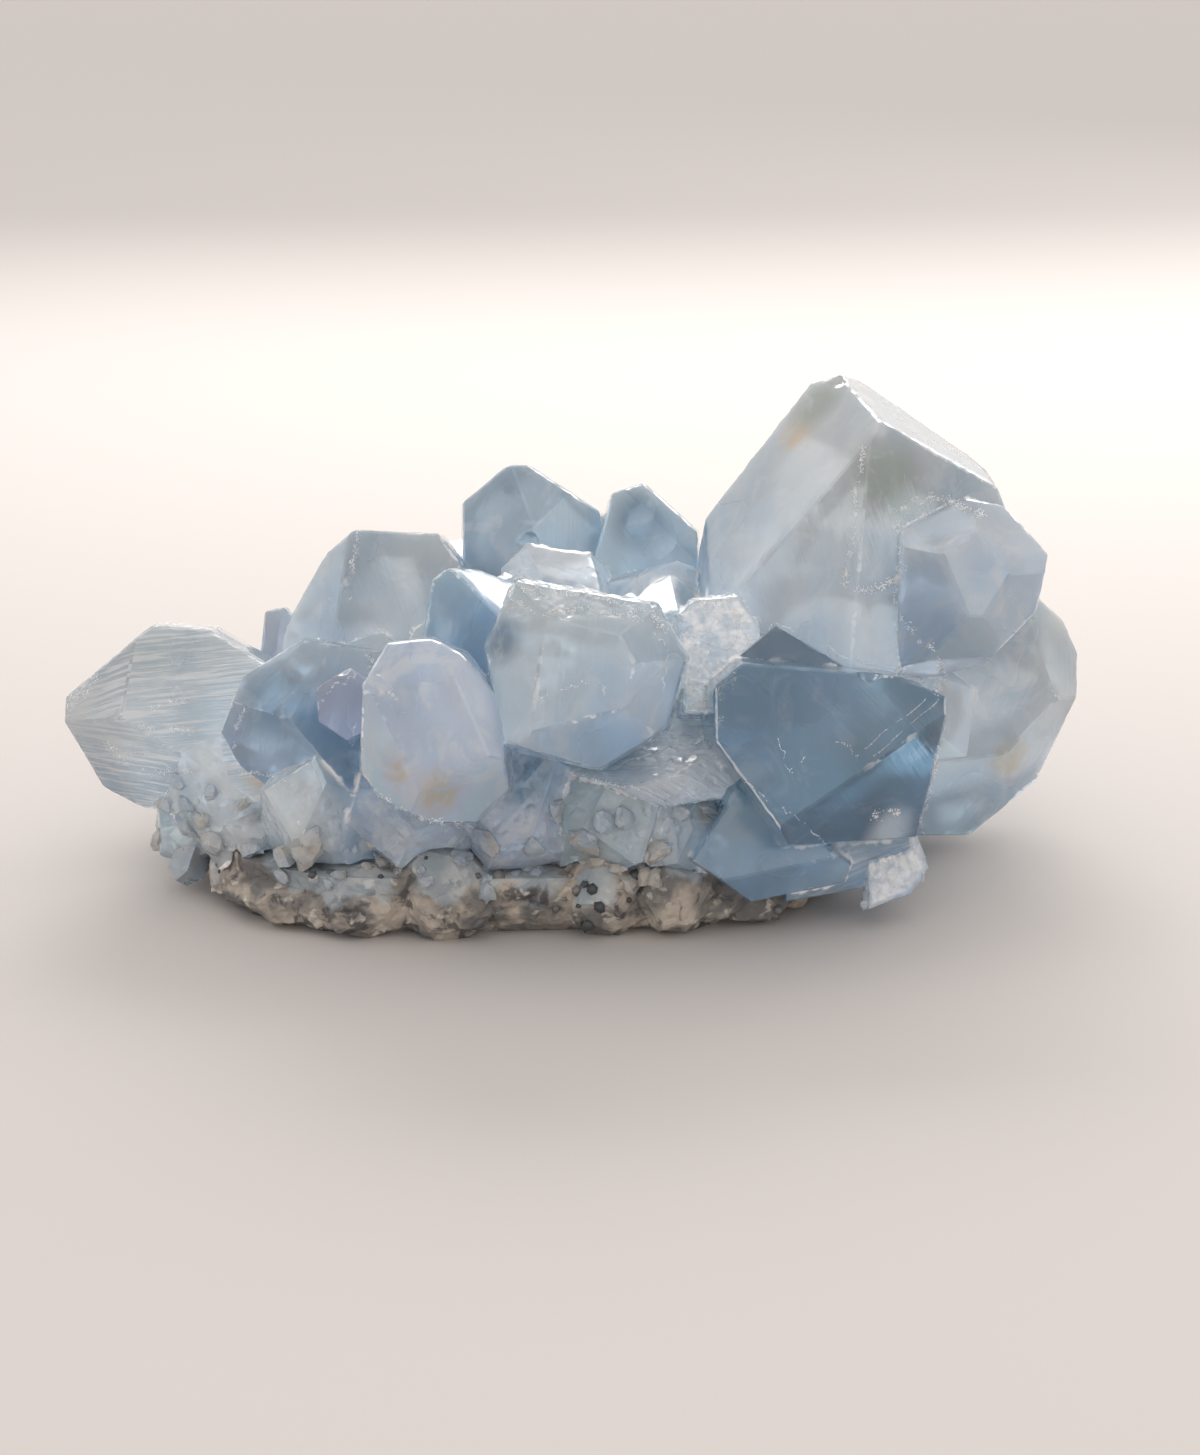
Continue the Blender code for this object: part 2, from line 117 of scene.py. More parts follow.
# The sides of the small triangles: towards the camera, away from it, and on the broken crystals
FRONT_SPACING = 0.5
BACK_SPACING = 0.8
ROUGH_SPACING = 0.36
# An edge is sharp past the first turn, and chips break from it past the second
SHARP_TURN = math.radians(8)
CHIPPED_TURN = math.radians(35)
CHIPS = 230
DOTS_APART = 0.3
# How many flat chips, one millimetre wide, would cover broken ground
CHIP_COVER = 20000

# Each crystal by its heart, its size, its colour, how milky it is, and the way its growth lines run
CRYSTALS = {
    "tall": ((28.0, 0.4, 33.7), 14.0, (0.66, 0.69, 0.71), 0.4, (-0.3, 0, 1)),
    "right_bulge": ((39.0, -7.6, 31.6), 8.0, (0.66, 0.72, 0.81), 0.7, (0.4, 0, 1)),
    "far_right": ((43.2, 2.4, 13.5), 10.0, (0.76, 0.78, 0.79), 0.7, (0.5, 0, 1)),
    "dark_blue": ((23.7, -19.6, 19.0), 10.4, (0.07, 0.18, 0.28), 0.1, (-0.8, 0, 1)),
    "dark_wedge": ((19.4, -15.6, 24.4), 5.7, (0.06, 0.14, 0.22), 0.1, (0.6, 0, 1)),
    "lower_right": ((17.9, -21.6, 8.8), 5.9, (0.32, 0.47, 0.60), 0.1, (0.8, 0, 1)),
    "lower_right_end": ((27.1, -18.6, 7.1), 5.5, (0.30, 0.42, 0.52), 0.2, (1, 0, 0.2)),
    "white_block": ((31.5, -19.6, 5.9), 3.1, (0.82, 0.80, 0.80), 1.0, (0.2, 0, 1)),
    "centre_block": ((1.6, -23.6, 25.9), 9.1, (0.60, 0.68, 0.74), 0.4, (0.1, 0, 1)),
    "bright_topped": ((-8.9, -11.6, 28.0), 6.5, (0.52, 0.68, 0.80), 0.2, (0.2, 0, 1)),
    "left_back": ((-19.1, 4.4, 25.1), 9.6, (0.64, 0.69, 0.73), 0.5, (-0.3, 0, 1)),
    "middle_back": ((-4.4, 12.4, 28.5), 9.4, (0.44, 0.56, 0.66), 0.4, (0.3, 0, 1)),
    "small_back": ((7.0, 10.4, 29.0), 7.5, (0.60, 0.72, 0.79), 0.3, (-0.6, 0, 1)),
    "lilac": ((-13.3, -25.6, 21.0), 8.1, (0.72, 0.76, 0.88), 0.8, (0.1, 0, 1)),
    "left_dark": ((-27.5, -13.6, 18.6), 7.3, (0.40, 0.49, 0.59), 0.2, (0.5, 0, 1)),
    "purple_small": ((-22.5, -23.6, 23.1), 2.9, (0.42, 0.45, 0.58), 0.1, (0.5, 0, 1)),
    "left_tip": ((-42.9, -5.6, 17.2), 9.2, (0.66, 0.70, 0.71), 0.5, (1, 0, 0.12)),
    "spike": ((-31.9, 6.4, 21.2), 3.9, (0.60, 0.64, 0.72), 0.4, (0.1, 0, 1)),
    # The silver face is nearly white: partly its frost, partly a painted highlight
    "silver": ((9.0, -19.6, 16.4), 6.1, (0.95, 0.96, 0.97), 0.9, (1, 0, -0.7)),
    "sparkle": ((13.6, -11.6, 27.5), 4.6, (0.80, 0.81, 0.84), 0.8, (1, 0, 0.3)),
}
# The massive base between the crystals and the rock, and the crystals over the back: heart and size
BASE = (
    (-39.3, -9.6, 5.8, 4.2), (-32.4, -14.6, 6.0, 5.0), (-25.0, -18.1, 10.4, 6.6),
    (-15.8, -20.1, 11.4, 6.6), (-5.8, -20.1, 12.4, 7.0), (2.4, -20.6, 10.2, 6.2),
    (10.2, -20.6, 8.8, 5.6), (-34.6, -10.6, 11.6, 7.4), (15.2, -19.6, 7.6, 4.8),
    (-21.8, -3.6, 15.0, 10.0), (-6.8, -3.6, 18.0, 12.0), (9.2, -4.6, 17.0, 12.0),
    (24.2, -4.6, 15.0, 12.0), (34.2, -0.6, 15.0, 8.0), (-20.8, 10.4, 13.0, 9.0),
    (-1.8, 1.4, 24.0, 8.0), (8.2, 0.4, 23.0, 7.6), (20.2, -5.6, 22.0, 7.6),
    (-4.8, 11.4, 15.0, 11.0), (12.2, 10.4, 15.0, 11.0), (27.2, 8.4, 14.0, 10.0),
    (-34.8, 4.4, 9.0, 6.6), (-26.8, 15.4, 9.0, 7.0), (-8.8, 18.4, 9.5, 7.5),
    (8.2, 18.4, 9.0, 7.5), (23.2, 14.4, 8.0, 7.0),
)
BACK_CRYSTALS = (
    (-36.8, 10.4, 10.5, 7.0), (-25.8, 18.4, 15.0, 7.3), (-12.8, 22.4, 18.0, 7.1),
    (1.2, 21.4, 20.5, 8.0), (14.2, 23.4, 17.0, 7.5), (19.2, 12.4, 26.0, 7.3),
    (29.2, 17.4, 20.0, 7.8), (41.2, 11.4, 12.0, 6.3), (-12.8, 13.4, 23.0, 5.6),
    (-2.8, 26.4, 11.0, 5.6), (-20.8, 23.4, 9.0, 5.1), (23.2, 23.4, 9.0, 5.6),
)
BASE_COLOUR = (0.76, 0.82, 0.87)
BACK_COLOUR = (0.52, 0.62, 0.70)
BASE_TOP = 13

# Flat faces that the nearest heart gets wrong, by a place in the picture where each one shows
NAMED_FACETS = {
    "sparkle": ((700, 620), (725, 640), (745, 610), (690, 660)),
    "left_tip": ((150, 650), (170, 720), (210, 700), (230, 660)),
}
# How strongly growth lines show, and how broken the faces are, from 0 to 1
STRIPED_CRYSTALS = {"silver": 1.0, "left_tip": 0.9, "sparkle": 0.4, "lower_right_end": 0.5}
OTHER_STRIPES = 0.12
ROUGH_CRYSTALS = {"sparkle": 1.0, "silver": 0.4, "white_block": 0.8, "base": 0.45}
FINELY_SPLIT = ("sparkle", "silver", "white_block")
# Frost on the silver face, which also stands in for a painted highlight
SILVER_FROST_AND_PAINTED_GLARE = 0.45
# How far above its heart the block in the middle is broken
BROKEN_TOP_RISE = 5.4

# What grew into the crystals, and painted light, shade and glints: one colour for each kind, and where it
# shows in the picture, with its reach
INCLUSIONS_AND_PAINTED_LIGHT = {
    "iron_stain": ((0.80, 0.62, 0.42), (
        (797, 432, 3.0), (1010, 760, 3.2), (440, 795, 3.5), (262, 782, 2.6), (706, 815, 1.6), (398, 775, 2.4),
    )),
    # Paler patches: partly milk in the crystals, partly painted light where the crystals show lighter
    "milk_and_painted_light": ((0.82, 0.85, 0.88), (
        (1000, 620, 5.0), (645, 700, 4.5), (85, 700, 5.0), (390, 622, 5.0), (850, 630, 5.0), (890, 832, 3.4),
    )),
    # Darker patches: partly deep blue in the crystals, partly painted shade where the crystals show darker
    "deep_blue_and_painted_shade": ((0.14, 0.26, 0.38), (
        (850, 705, 6.0), (530, 778, 4.0), (500, 640, 3.0), (275, 700, 5.0), (640, 520, 4.0),
    )),
    "smoky_green": ((0.42, 0.46, 0.38), ((888, 480, 5.0), (815, 405, 4.0))),
    # Painted glints: small white spots that stand for highlights on the tall crystal's ridge, the left tip
    # and the silver face
    "painted_glint": ((0.97, 0.97, 0.96), (
        (866, 398, 1.6), (880, 428, 1.2), (78, 705, 2.4), (118, 752, 1.8), (600, 782, 4.0), (645, 772, 3.4),
    )),
}
INCLUSION_AND_PAINTED_LIGHT_STRENGTH = 0.9
# Growth zones: a crystal is greyer and warmer towards its tip, and bluer towards its foot
TIP_TINT = np.array((1.06, 1.04, 0.99))
FOOT_TINT = np.array((1.0, 1.12, 1.24))
FACET_VARIATION = 0.22
BRIGHTEST_TINT = 0.95
# Each crystal takes its own part of the noise that draws the growth lines
LINES_APART = 7.3

Crystal = namedtuple("Crystal", "name heart size colour milk lines")
crystal_table = []
for name, (heart, size, colour, milk, lines) in CRYSTALS.items():
    crystal_table.append(Crystal(name, Vector(heart), size, colour, milk, Vector(lines).normalized()))
spread = random.Random(12)
for x, y, z, size in BASE:
    light = spread.uniform(0.85, 1.15)
    colour = [c * light * spread.uniform(0.97, 1.03) for c in BASE_COLOUR]
    name = "base" if z < BASE_TOP else "inner"
    lines = Vector((0.3, 0.2, 1)).normalized()
    crystal_table.append(Crystal(name, Vector((x, y, z)), size, colour, 0.5, lines))
for x, y, z, size in BACK_CRYSTALS:
    light = spread.uniform(0.8, 1.15)
    colour = [c * light for c in BACK_COLOUR]
    milk = spread.uniform(0.1, 0.6)
    lines = Vector((x * 0.04, y * 0.06, 1)).normalized()
    crystal_table.append(Crystal("back", Vector((x, y, z)), size, colour, milk, lines))


def flat_faces(node):
    """The node's mesh with its loose triangles merged into whole flat faces, in millimetres."""
    shape = bmesh.new()
    shape.from_mesh(node.data)
    bmesh.ops.scale(shape, verts=shape.verts, vec=(1 / MM, 1 / MM, 1 / MM))
    bmesh.ops.remove_doubles(shape, verts=shape.verts, dist=0.002)
    bmesh.ops.dissolve_limit(
        shape, angle_limit=math.radians(0.4), verts=shape.verts, edges=shape.edges,
    )
    shape.normal_update()
    shape.verts.index_update()
    shape.edges.index_update()
    shape.faces.index_update()
    return shape


def grown_from(face):
    """Which crystal a flat face belongs to: the nearest for its size that the face looks away from."""
    centre = face.calc_center_median()
    best, best_score = 0, math.inf
    for k, crystal in enumerate(crystal_table):
        out = centre - crystal.heart
        reach = out.dot(face.normal)
        score = out.length / crystal.size
        if 0.2 * crystal.size <= reach <= 1.35 * crystal.size and score < best_score:
            best, best_score = k, score
    return best


def inside_outline(places, rim):
    """Which of the places lie inside the flat outline."""
    start, end = rim, np.roll(rim, -1, 0)
    x, y = places[:, :1], places[:, 1:]
    crosses = (start[:, 1] > y) != (end[:, 1] > y)
    run = np.where(end[:, 1] == start[:, 1], 1, end[:, 1] - start[:, 1])
    where = start[:, 0] + (y - start[:, 1]) * (end[:, 0] - start[:, 0]) / run
    return (crosses & (x < where)).sum(1) % 2 == 1


# The even triangles, as shares of their spacing: between rows, off their place, and clear of the rim
ROW_APART, UNEVEN, CLEAR_OF_RIM = 0.866, 0.12, 0.6


def even_triangles(shape, spacing, chance):
    """Splits flat faces into small even triangles. Returns points, triangles and each one's flat face."""
    points = [vert.co.copy() for vert in shape.verts]
    between = {}
    for edge in shape.edges:
        start, end = (vert.co for vert in edge.verts)
        step = min(spacing[face.index] for face in edge.link_faces)
        cuts = max(1, round((end - start).length / step))
        between[edge.index] = list(range(len(points), len(points) + cuts - 1))
        points += [start.lerp(end, k / cuts) for k in range(1, cuts)]
    triangles = []
    owners = []
    for face in shape.faces:
        step = spacing[face.index]
        rim = []
        for loop in face.loops:
            rim.append(loop.vert.index)
            cuts = between[loop.edge.index]
            rim += cuts if loop.edge.verts[0] == loop.vert else cuts[::-1]
        across = face.normal.orthogonal().normalized()
        up = face.normal.cross(across)
        height = face.verts[0].co.dot(face.normal)
        flat_rim = np.array([(points[k].dot(across), points[k].dot(up)) for k in rim])
        low, high = flat_rim.min(0), flat_rim.max(0)
        row = np.arange(low[0], high[0], step)
        u, v = np.meshgrid(row, np.arange(low[1], high[1], step * ROW_APART))
        u = u + (np.arange(len(u)) % 2)[:, None] * step / 2
        inner = np.stack([u.ravel(), v.ravel()], 1)
        inner += chance.uniform(-UNEVEN, UNEVEN, inner.shape) * step
        apart = np.linalg.norm(inner[:, None] - flat_rim[None], axis=2).min(1)
        inner = inner[apart > CLEAR_OF_RIM * step]
        inner = inner[inside_outline(inner, flat_rim)]
        ids = rim + list(range(len(points), len(points) + len(inner)))
        points += [across * x + up * y + face.normal * height for x, y in inner]
        flat = [Vector(place) for place in flat_rim] + [Vector(place) for place in inner]
        found = delaunay_2d_cdt(flat, [], [list(range(len(rim)))], 1, 1e-6, True)
        numbers = [ids[source[0]] for source in found[3]]
        for corners, sources in zip(found[2], found[5]):
            triangle = [numbers[k] for k in corners]
            if sources and len(set(triangle)) == 3:
                triangles.append(triangle)
                owners.append(face.index)
    return np.array(points), np.array(triangles), np.array(owners)


def waves(places, size, seed, octaves=1):
    """Smooth noise from about -1 to 1 at each place, with bumps of that size."""
    shift = Vector((seed * 13.7, seed * 7.1, seed * 3.3))
    spots = (Vector(place) / size + shift for place in places.tolist())
    if octaves == 1:
        return np.array([noise.noise(spot) for spot in spots])
    return np.array([noise.fractal(spot, 0.9, 2.1, octaves) for spot in spots])


def finder(dots):
    """A tree that finds the dots nearest to a place."""
    tree = kdtree.KDTree(len(dots))
    for k, dot in enumerate(dots):
        tree.insert(dot, k)
    tree.balance()
    return tree


def distance_to(dots, places):
    """How far each place is from the nearest dot, 3 mm at most."""
    tree = finder(dots)
    return np.array([min(3.0, tree.find(place)[2]) for place in places.tolist()])


def ways_out(places, triangles, normals):
    """The outward way at each point: the mean of the normals of the triangles around it."""
    ways = np.zeros_like(places)
    for corner in range(3):
        np.add.at(ways, triangles[:, corner], normals)
    return ways / np.maximum(np.linalg.norm(ways, axis=1), 1e-9)[:, None]


def mosaic(places, cell, depth, slope, seed):
    """Broken ground: flat chips of about that width, each sunk and tilted by its own amount."""
    pick = np.random.default_rng(seed)
    count = int(CHIP_COVER / cell ** 2)
    seeds = pick.choice(len(places), min(count, len(places)), replace=False)
    tree = finder(places[seeds].tolist())
    cells = np.array([tree.find(place)[1] for place in places.tolist()])
    tilts = pick.normal(0, slope, (len(seeds), 3))
    sunk = pick.uniform(0, depth, len(seeds))
    away = places - places[seeds][cells]
    return sunk[cells] + (away * tilts[cells]).sum(1)


def paint(mesh, name, kind, domain, values):
    """Stores values on a mesh, for its material or for the scatter to read."""
    layer = mesh.attributes.new(name, kind, domain)
    field = {"FLOAT": "value", "FLOAT_COLOR": "color", "FLOAT_VECTOR": "vector"}[kind]
    layer.data.foreach_set(field, np.asarray(values, np.float32).ravel())


def new_piece(name, points, faces):
    """A mesh object in the scene, from points in millimetres."""
    mesh = bpy.data.meshes.new(name)
    mesh.from_pydata((np.asarray(points) * MM).tolist(), [], faces)
    mesh.update()
    piece = bpy.data.objects.new(name, mesh)
    bpy.context.scene.collection.objects.link(piece)
    return piece


chance = np.random.default_rng(7)
shape = flat_faces(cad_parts["crystals"])
face_normals = np.array([face.normal for face in shape.faces])
face_crystal = np.array([grown_from(face) for face in shape.faces])
names = [crystal.name for crystal in crystal_table]

facet_tree = BVHTree.FromBMesh(shape)
for name, spots in NAMED_FACETS.items():
    for across, down in spots:
        hit, way, index, far = facet_tree.ray_cast(EYE, sight(across, down))
        if hit is not None:
            face_crystal[index] = names.index(name)
spacing = []
for face, k in zip(shape.faces, face_crystal):
    toward = face.normal.dot((EYE - face.calc_center_median()).normalized())
    step = FRONT_SPACING if toward > 0 or face.normal.z > 0.7 else BACK_SPACING
    if toward > 0 and names[k] in FINELY_SPLIT:
        step = ROUGH_SPACING
    spacing.append(step)
places, triangles, owner = even_triangles(shape, spacing, chance)

# Dots along the sharp edges: those that stand out, the seams where crystals meet, and where chips break off
edge_dots, seam_dots, chip_dots = [], [], []
for edge in shape.edges:
    turn = edge.calc_face_angle_signed(0)
    if abs(turn) < SHARP_TURN:
        continue
    start, end = (vert.co for vert in edge.verts)
    count = max(1, round((end - start).length / DOTS_APART))
    row = [start.lerp(end, (k + 0.5) / count) for k in range(count)]
    if turn > 0:
        edge_dots += row
    else:
        seam_dots += row
    if turn > CHIPPED_TURN:
        chip_dots += row
edge_far = distance_to(edge_dots, places)
seam_far = distance_to(seam_dots, places)

out_ways = ways_out(places, triangles, face_normals[owner])
point_crystal = np.zeros(len(places), int)
for corner in range(3):
    point_crystal[triangles[:, corner]] = face_crystal[owner]

# How broken the crystals are, with the ragged top of the block in the middle
rough = np.array([ROUGH_CRYSTALS.get(name, 0.0) for name in names])[point_crystal]
centre_block = names.index("centre_block")
rise = (places - np.array(crystal_table[centre_block].heart)) @ np.array(EYE_UP)
band = np.clip((rise - BROKEN_TOP_RISE + 0.7 * waves(places, 2.5, 3)) / 0.6, 0, 1)
rough = np.maximum(rough, 0.5 * band * (point_crystal == centre_block))
rough *= np.clip(edge_far / 0.5, 0.35, 1)

# How deep each point sinks: slow swells, broken ground, and worn edges
inward = 0.08 * waves(places, 7, 1) + 0.04 * waves(places, 2.2, 2)
inward += rough * (0.5 * mosaic(places, 2.2, 0.5, 0.28, 1) + 0.5 * mosaic(places, 1.1, 0.4, 0.35, 2))
inward += 0.10 * np.clip(1 - edge_far / 0.5, 0, 1) * (1 + waves(places, 0.9, 5))
fine = places - out_ways * inward[:, None]

# Chips broken from the edges: a ball takes a shallow scoop out of the crystal
points_near = finder(fine.tolist())
for chip in range(CHIPS):
    spot = chip_dots[chance.integers(len(chip_dots))]
    radius = 0.4 + 1.2 * chance.random() ** 3
    nearest = points_near.find(spot)[1]
    way = Vector(out_ways[nearest]) + Vector(chance.normal(0, 0.35, 3))
    ball = spot + way.normalized() * radius * chance.uniform(0.55, 0.9)
    for place, index, far in points_near.find_range(ball, radius):
        arm = Vector(fine[index]) - ball
        if arm.length > 1e-6:
            fine[index] = ball + arm.normalized() * radius
            rough[index] = max(rough[index], 0.3)

# The silver face is flat but frosted all over, so it counts as broken for its look alone; its near white tint
# and frost are partly a painted highlight
silvery = point_crystal == names.index("silver")
rough[silvery] = np.maximum(rough[silvery], SILVER_FROST_AND_PAINTED_GLARE)

crystal_points = fine
crystals = new_piece("crystal_mass", fine, triangles.tolist())
mesh = crystals.data

made = bmesh.new()
made.from_mesh(mesh)
made.faces.ensure_lookup_table()
for face in made.faces:
    face.smooth = bool(rough[triangles[face.index]].mean() < 0.4)
for edge in made.edges:
    first, second = (face_normals[owner[face.index]] for face in edge.link_faces)
    edge.smooth = bool(first @ second > math.cos(SHARP_TURN))
made.to_mesh(mesh)
made.free()

# The tint of every corner: its crystal's colour, zoned by height, with what grew into it,
# painted light, shade and glints, and a small shift for each facet
corner_places = fine[triangles].reshape(-1, 3)
corner_crystal = np.repeat(face_crystal[owner], 3)
corner_tints = np.array([crystal.colour for crystal in crystal_table])[corner_crystal]
surface_tree = BVHTree.FromPolygons(fine.tolist(), triangles.tolist())


def seen(across, down):
    """The point of the crystals that shows at a place in the picture, its outward way and its triangle."""
    hit, way, index, far = surface_tree.ray_cast(EYE, sight(across, down))
    return hit, way, index


hearts = np.array([crystal.heart for crystal in crystal_table])[corner_crystal]
sizes = np.array([crystal.size for crystal in crystal_table])[corner_crystal]
zone = np.clip(0.5 + 0.5 * (corner_places - hearts)[:, 2] / sizes, 0, 1)
zone = np.clip(zone + 0.25 * waves(fine, 9, 41, 2)[triangles].ravel(), 0, 1)[:, None]
stain_breaks = np.clip(0.85 + 0.8 * waves(fine, 1.4, 61, 3), 0, 1)[triangles].ravel()
corner_tints = corner_tints * (FOOT_TINT + (TIP_TINT - FOOT_TINT) * zone)
# Stains, clouds and painted light, shade and glints, each laid on its own crystal
for kind, (colour, spots) in INCLUSIONS_AND_PAINTED_LIGHT.items():
    for across, down, reach in spots:
        hit, way, index = seen(across, down)
        share = np.clip(1 - np.linalg.norm(corner_places - np.array(hit), axis=1) / reach, 0, 1)
        if kind == "iron_stain":
            share = share * stain_breaks
        share = np.minimum(1, 1.6 * share) * (corner_crystal == face_crystal[owner[index]])
        corner_tints += (np.array(colour) - corner_tints) * (INCLUSION_AND_PAINTED_LIGHT_STRENGTH * share)[:, None]
lively = 1 + FACET_VARIATION * (chance.random(len(face_normals)) - 0.5)
corner_tints *= np.repeat(lively[owner], 3)[:, None]
corner_tints = np.minimum(corner_tints, BRIGHTEST_TINT)
paint(mesh, "tint", "FLOAT_COLOR", "CORNER", np.hstack([corner_tints, np.ones((len(corner_tints), 1))]))
stripes = np.array([STRIPED_CRYSTALS.get(name, OTHER_STRIPES) for name in names])
milks = np.array([crystal.milk for crystal in crystal_table])
paint(mesh, "striped", "FLOAT", "FACE", stripes[face_crystal[owner]])
paint(mesh, "milk", "FLOAT", "FACE", milks[face_crystal[owner]])
paint(mesh, "edge_far", "FLOAT", "POINT", edge_far)
paint(mesh, "seam_far", "FLOAT", "POINT", seam_far)
paint(mesh, "broken", "FLOAT", "POINT", rough)

# Where a place lies across and along its crystal's growth lines, for each corner of each triangle
axis = np.array([crystal.lines for crystal in crystal_table])[face_crystal[owner]]
flat = face_normals[owner]
along = axis - flat * (axis * flat).sum(1)[:, None]
along /= np.maximum(np.linalg.norm(along, axis=1), 1e-6)[:, None]
across = np.cross(flat, along)
corners = fine[triangles]
lines = np.stack([
    (corners * across[:, None]).sum(2), (corners * along[:, None]).sum(2),
    np.repeat(face_crystal[owner][:, None] * LINES_APART, 3, 1),
], 2)
paint(mesh, "growth", "FLOAT_VECTOR", "CORNER", lines.reshape(-1, 3))


def add(tree, kind, values=None, **settings):
    """A node with its settings and plain input values."""
    node = tree.nodes.new("ShaderNode" + kind)
    for name, value in settings.items():
        setattr(node, name, value)
    for name, value in (values or {}).items():
        node.inputs[name].default_value = value
    return node


def ramp(tree, source, low, high, bottom=0.0, top=1.0):
    """Carries a value from one range smoothly into another."""
    node = add(tree, "MapRange", interpolation_type="SMOOTHSTEP")
    for name, value in (("From Min", low), ("From Max", high), ("To Min", bottom), ("To Max", top)):
        node.inputs[name].default_value = value
    tree.links.new(source, node.inputs["Value"])
    return node.outputs["Result"]


def compute(tree, operation, first, second):
    """A sum on two values, each a number or another node's output."""
    node = add(tree, "Math", operation=operation)
    for socket, value in zip(node.inputs, (first, second)):
        if isinstance(value, (int, float)):
            socket.default_value = value
        else:
            tree.links.new(value, socket)
    return node.outputs["Value"]


def blended(tree, share, first, second, mode="MIX"):
    """The first colour with a share of the second laid over it."""
    node = add(tree, "Mix", data_type="RGBA", blend_type=mode)
    for socket, value in zip((node.inputs[0], node.inputs[6], node.inputs[7]), (share, first, second)):
        if isinstance(value, (int, float, tuple)):
            socket.default_value = value
        else:
            tree.links.new(value, socket)
    return node.outputs[2]


def mottle(tree, place, scale, detail=3.0, distortion=0.0, rough=0.5):
    """Cloudy noise that follows the place it is given."""
    node = add(tree, "TexNoise", {
        "Scale": scale, "Detail": detail, "Distortion": distortion, "Roughness": rough,
    })
    tree.links.new(place, node.inputs["Vector"])
    return node.outputs["Fac"]


def mottled_group():
    """Cloudy noise carried from one range smoothly into another, for colour and gloss."""
    tree = bpy.data.node_groups.new("mottled", "ShaderNodeTree")
    tree.interface.new_socket("Place", in_out="INPUT", socket_type="NodeSocketVector")
    for label in ("Scale", "Detail", "Distortion", "Roughness", "Start", "End", "Least", "Most"):
        tree.interface.new_socket(label, in_out="INPUT", socket_type="NodeSocketFloat")
    tree.interface.new_socket("Value", in_out="OUTPUT", socket_type="NodeSocketFloat")
    given = tree.nodes.new("NodeGroupInput").outputs
    cloudy = add(tree, "TexNoise")
    tree.links.new(given["Place"], cloudy.inputs["Vector"])
    for label in ("Scale", "Detail", "Distortion", "Roughness"):
        tree.links.new(given[label], cloudy.inputs[label])
    carried = add(tree, "MapRange", interpolation_type="SMOOTHSTEP")
    tree.links.new(cloudy.outputs["Fac"], carried.inputs["Value"])
    for label, socket in (
        ("Start", "From Min"), ("End", "From Max"), ("Least", "To Min"), ("Most", "To Max"),
    ):
        tree.links.new(given[label], carried.inputs[socket])
    tree.links.new(carried.outputs["Result"], tree.nodes.new("NodeGroupOutput").inputs["Value"])
    return tree


mottled_noise = mottled_group()


def mottled(tree, place, scale, start, end, least=0.0, most=1.0, detail=3.0, distortion=0.0, rough=0.5):
    """Places the mottled group in a material, with the material's own values."""
    node = add(tree, "Group", {
        "Scale": scale, "Detail": detail, "Distortion": distortion, "Roughness": rough,
        "Start": start, "End": end, "Least": least, "Most": most,
    }, node_tree=mottled_noise)
    tree.links.new(place, node.inputs["Place"])
    return node.outputs["Value"]


def painted(tree, name):
    """Reads what was painted on the mesh under that name."""
    return add(tree, "Attribute", attribute_name=name)


def new_material(name):
    """A material, its node tree, its shader, and the place on the piece that its patterns follow."""
    material = bpy.data.materials.new(name)
    material.use_nodes = True
    tree = material.node_tree
    return material, tree, tree.nodes["Principled BSDF"], add(tree, "TexCoord").outputs["Object"]


glass, tree, clear, place = new_material("celestite")
tint = painted(tree, "tint").outputs["Color"]
milk = painted(tree, "milk").outputs["Fac"]
clouds = mottled(tree, place, 75, 0.35, 0.68, detail=2)
wisps = mottled(tree, place, 190, 0.48, 0.68, distortion=1.2, rough=0.65)
deep = blended(tree, clouds, tint, DEPTH_TINT, "MULTIPLY")
milky = compute(tree, "MULTIPLY", milk, wisps)
base = blended(tree, compute(tree, "MULTIPLY", milky, 0.85), deep, MILK_COLOUR)
tree.links.new(ramp(tree, clouds, 0, 1, 0.14, 0.30), clear.inputs["Roughness"])
clear.inputs["IOR"].default_value = CELESTITE_IOR
clear.inputs["Transmission Weight"].default_value = CELESTITE_CLEARNESS
clear.subsurface_method = "BURLEY"
clear.inputs["Subsurface Weight"].default_value = 1
clear.inputs["Subsurface Radius"].default_value = (0.8, 1.0, 1.2)
clear.inputs["Subsurface Scale"].default_value = GLOW_DEPTH * MM
clear.inputs["Coat Weight"].default_value = 0.8
clear.inputs["Coat Roughness"].default_value = 0.05

# Growth lines: noise drawn out along each crystal, bright on the strongly striped ones
growth = painted(tree, "growth").outputs["Vector"]
stretch = add(tree, "VectorMath", operation="MULTIPLY")
stretch.inputs[1].default_value = (2.4, 0.12, 1)
tree.links.new(growth, stretch.inputs[0])
steps = mottle(tree, stretch.outputs["Vector"], 1.0, 3, 0, 0.6)
striped = painted(tree, "striped").outputs["Fac"]
silky = ramp(tree, striped, 0.2, 0.9)
ripples = compute(tree, "MULTIPLY", ramp(tree, steps, 0.49, 0.60, 0, 1), silky)
tree.links.new(blended(tree, ripples, base, LINE_COLOUR), clear.inputs["Base Color"])
relief = add(tree, "Bump", {"Distance": 0.4 * MM})
tree.links.new(striped, relief.inputs["Strength"])
tree.links.new(steps, relief.inputs["Height"])
grit = add(tree, "Bump", {"Distance": 0.2 * MM})
tree.links.new(mottle(tree, place, 1800, 1), grit.inputs["Height"])
tree.links.new(relief.outputs["Normal"], grit.inputs["Normal"])
broken = painted(tree, "broken").outputs["Fac"]
tree.links.new(ramp(tree, broken, 0.1, 0.8, 0.0, 0.5), grit.inputs["Strength"])
tree.links.new(grit.outputs["Normal"], clear.inputs["Normal"])

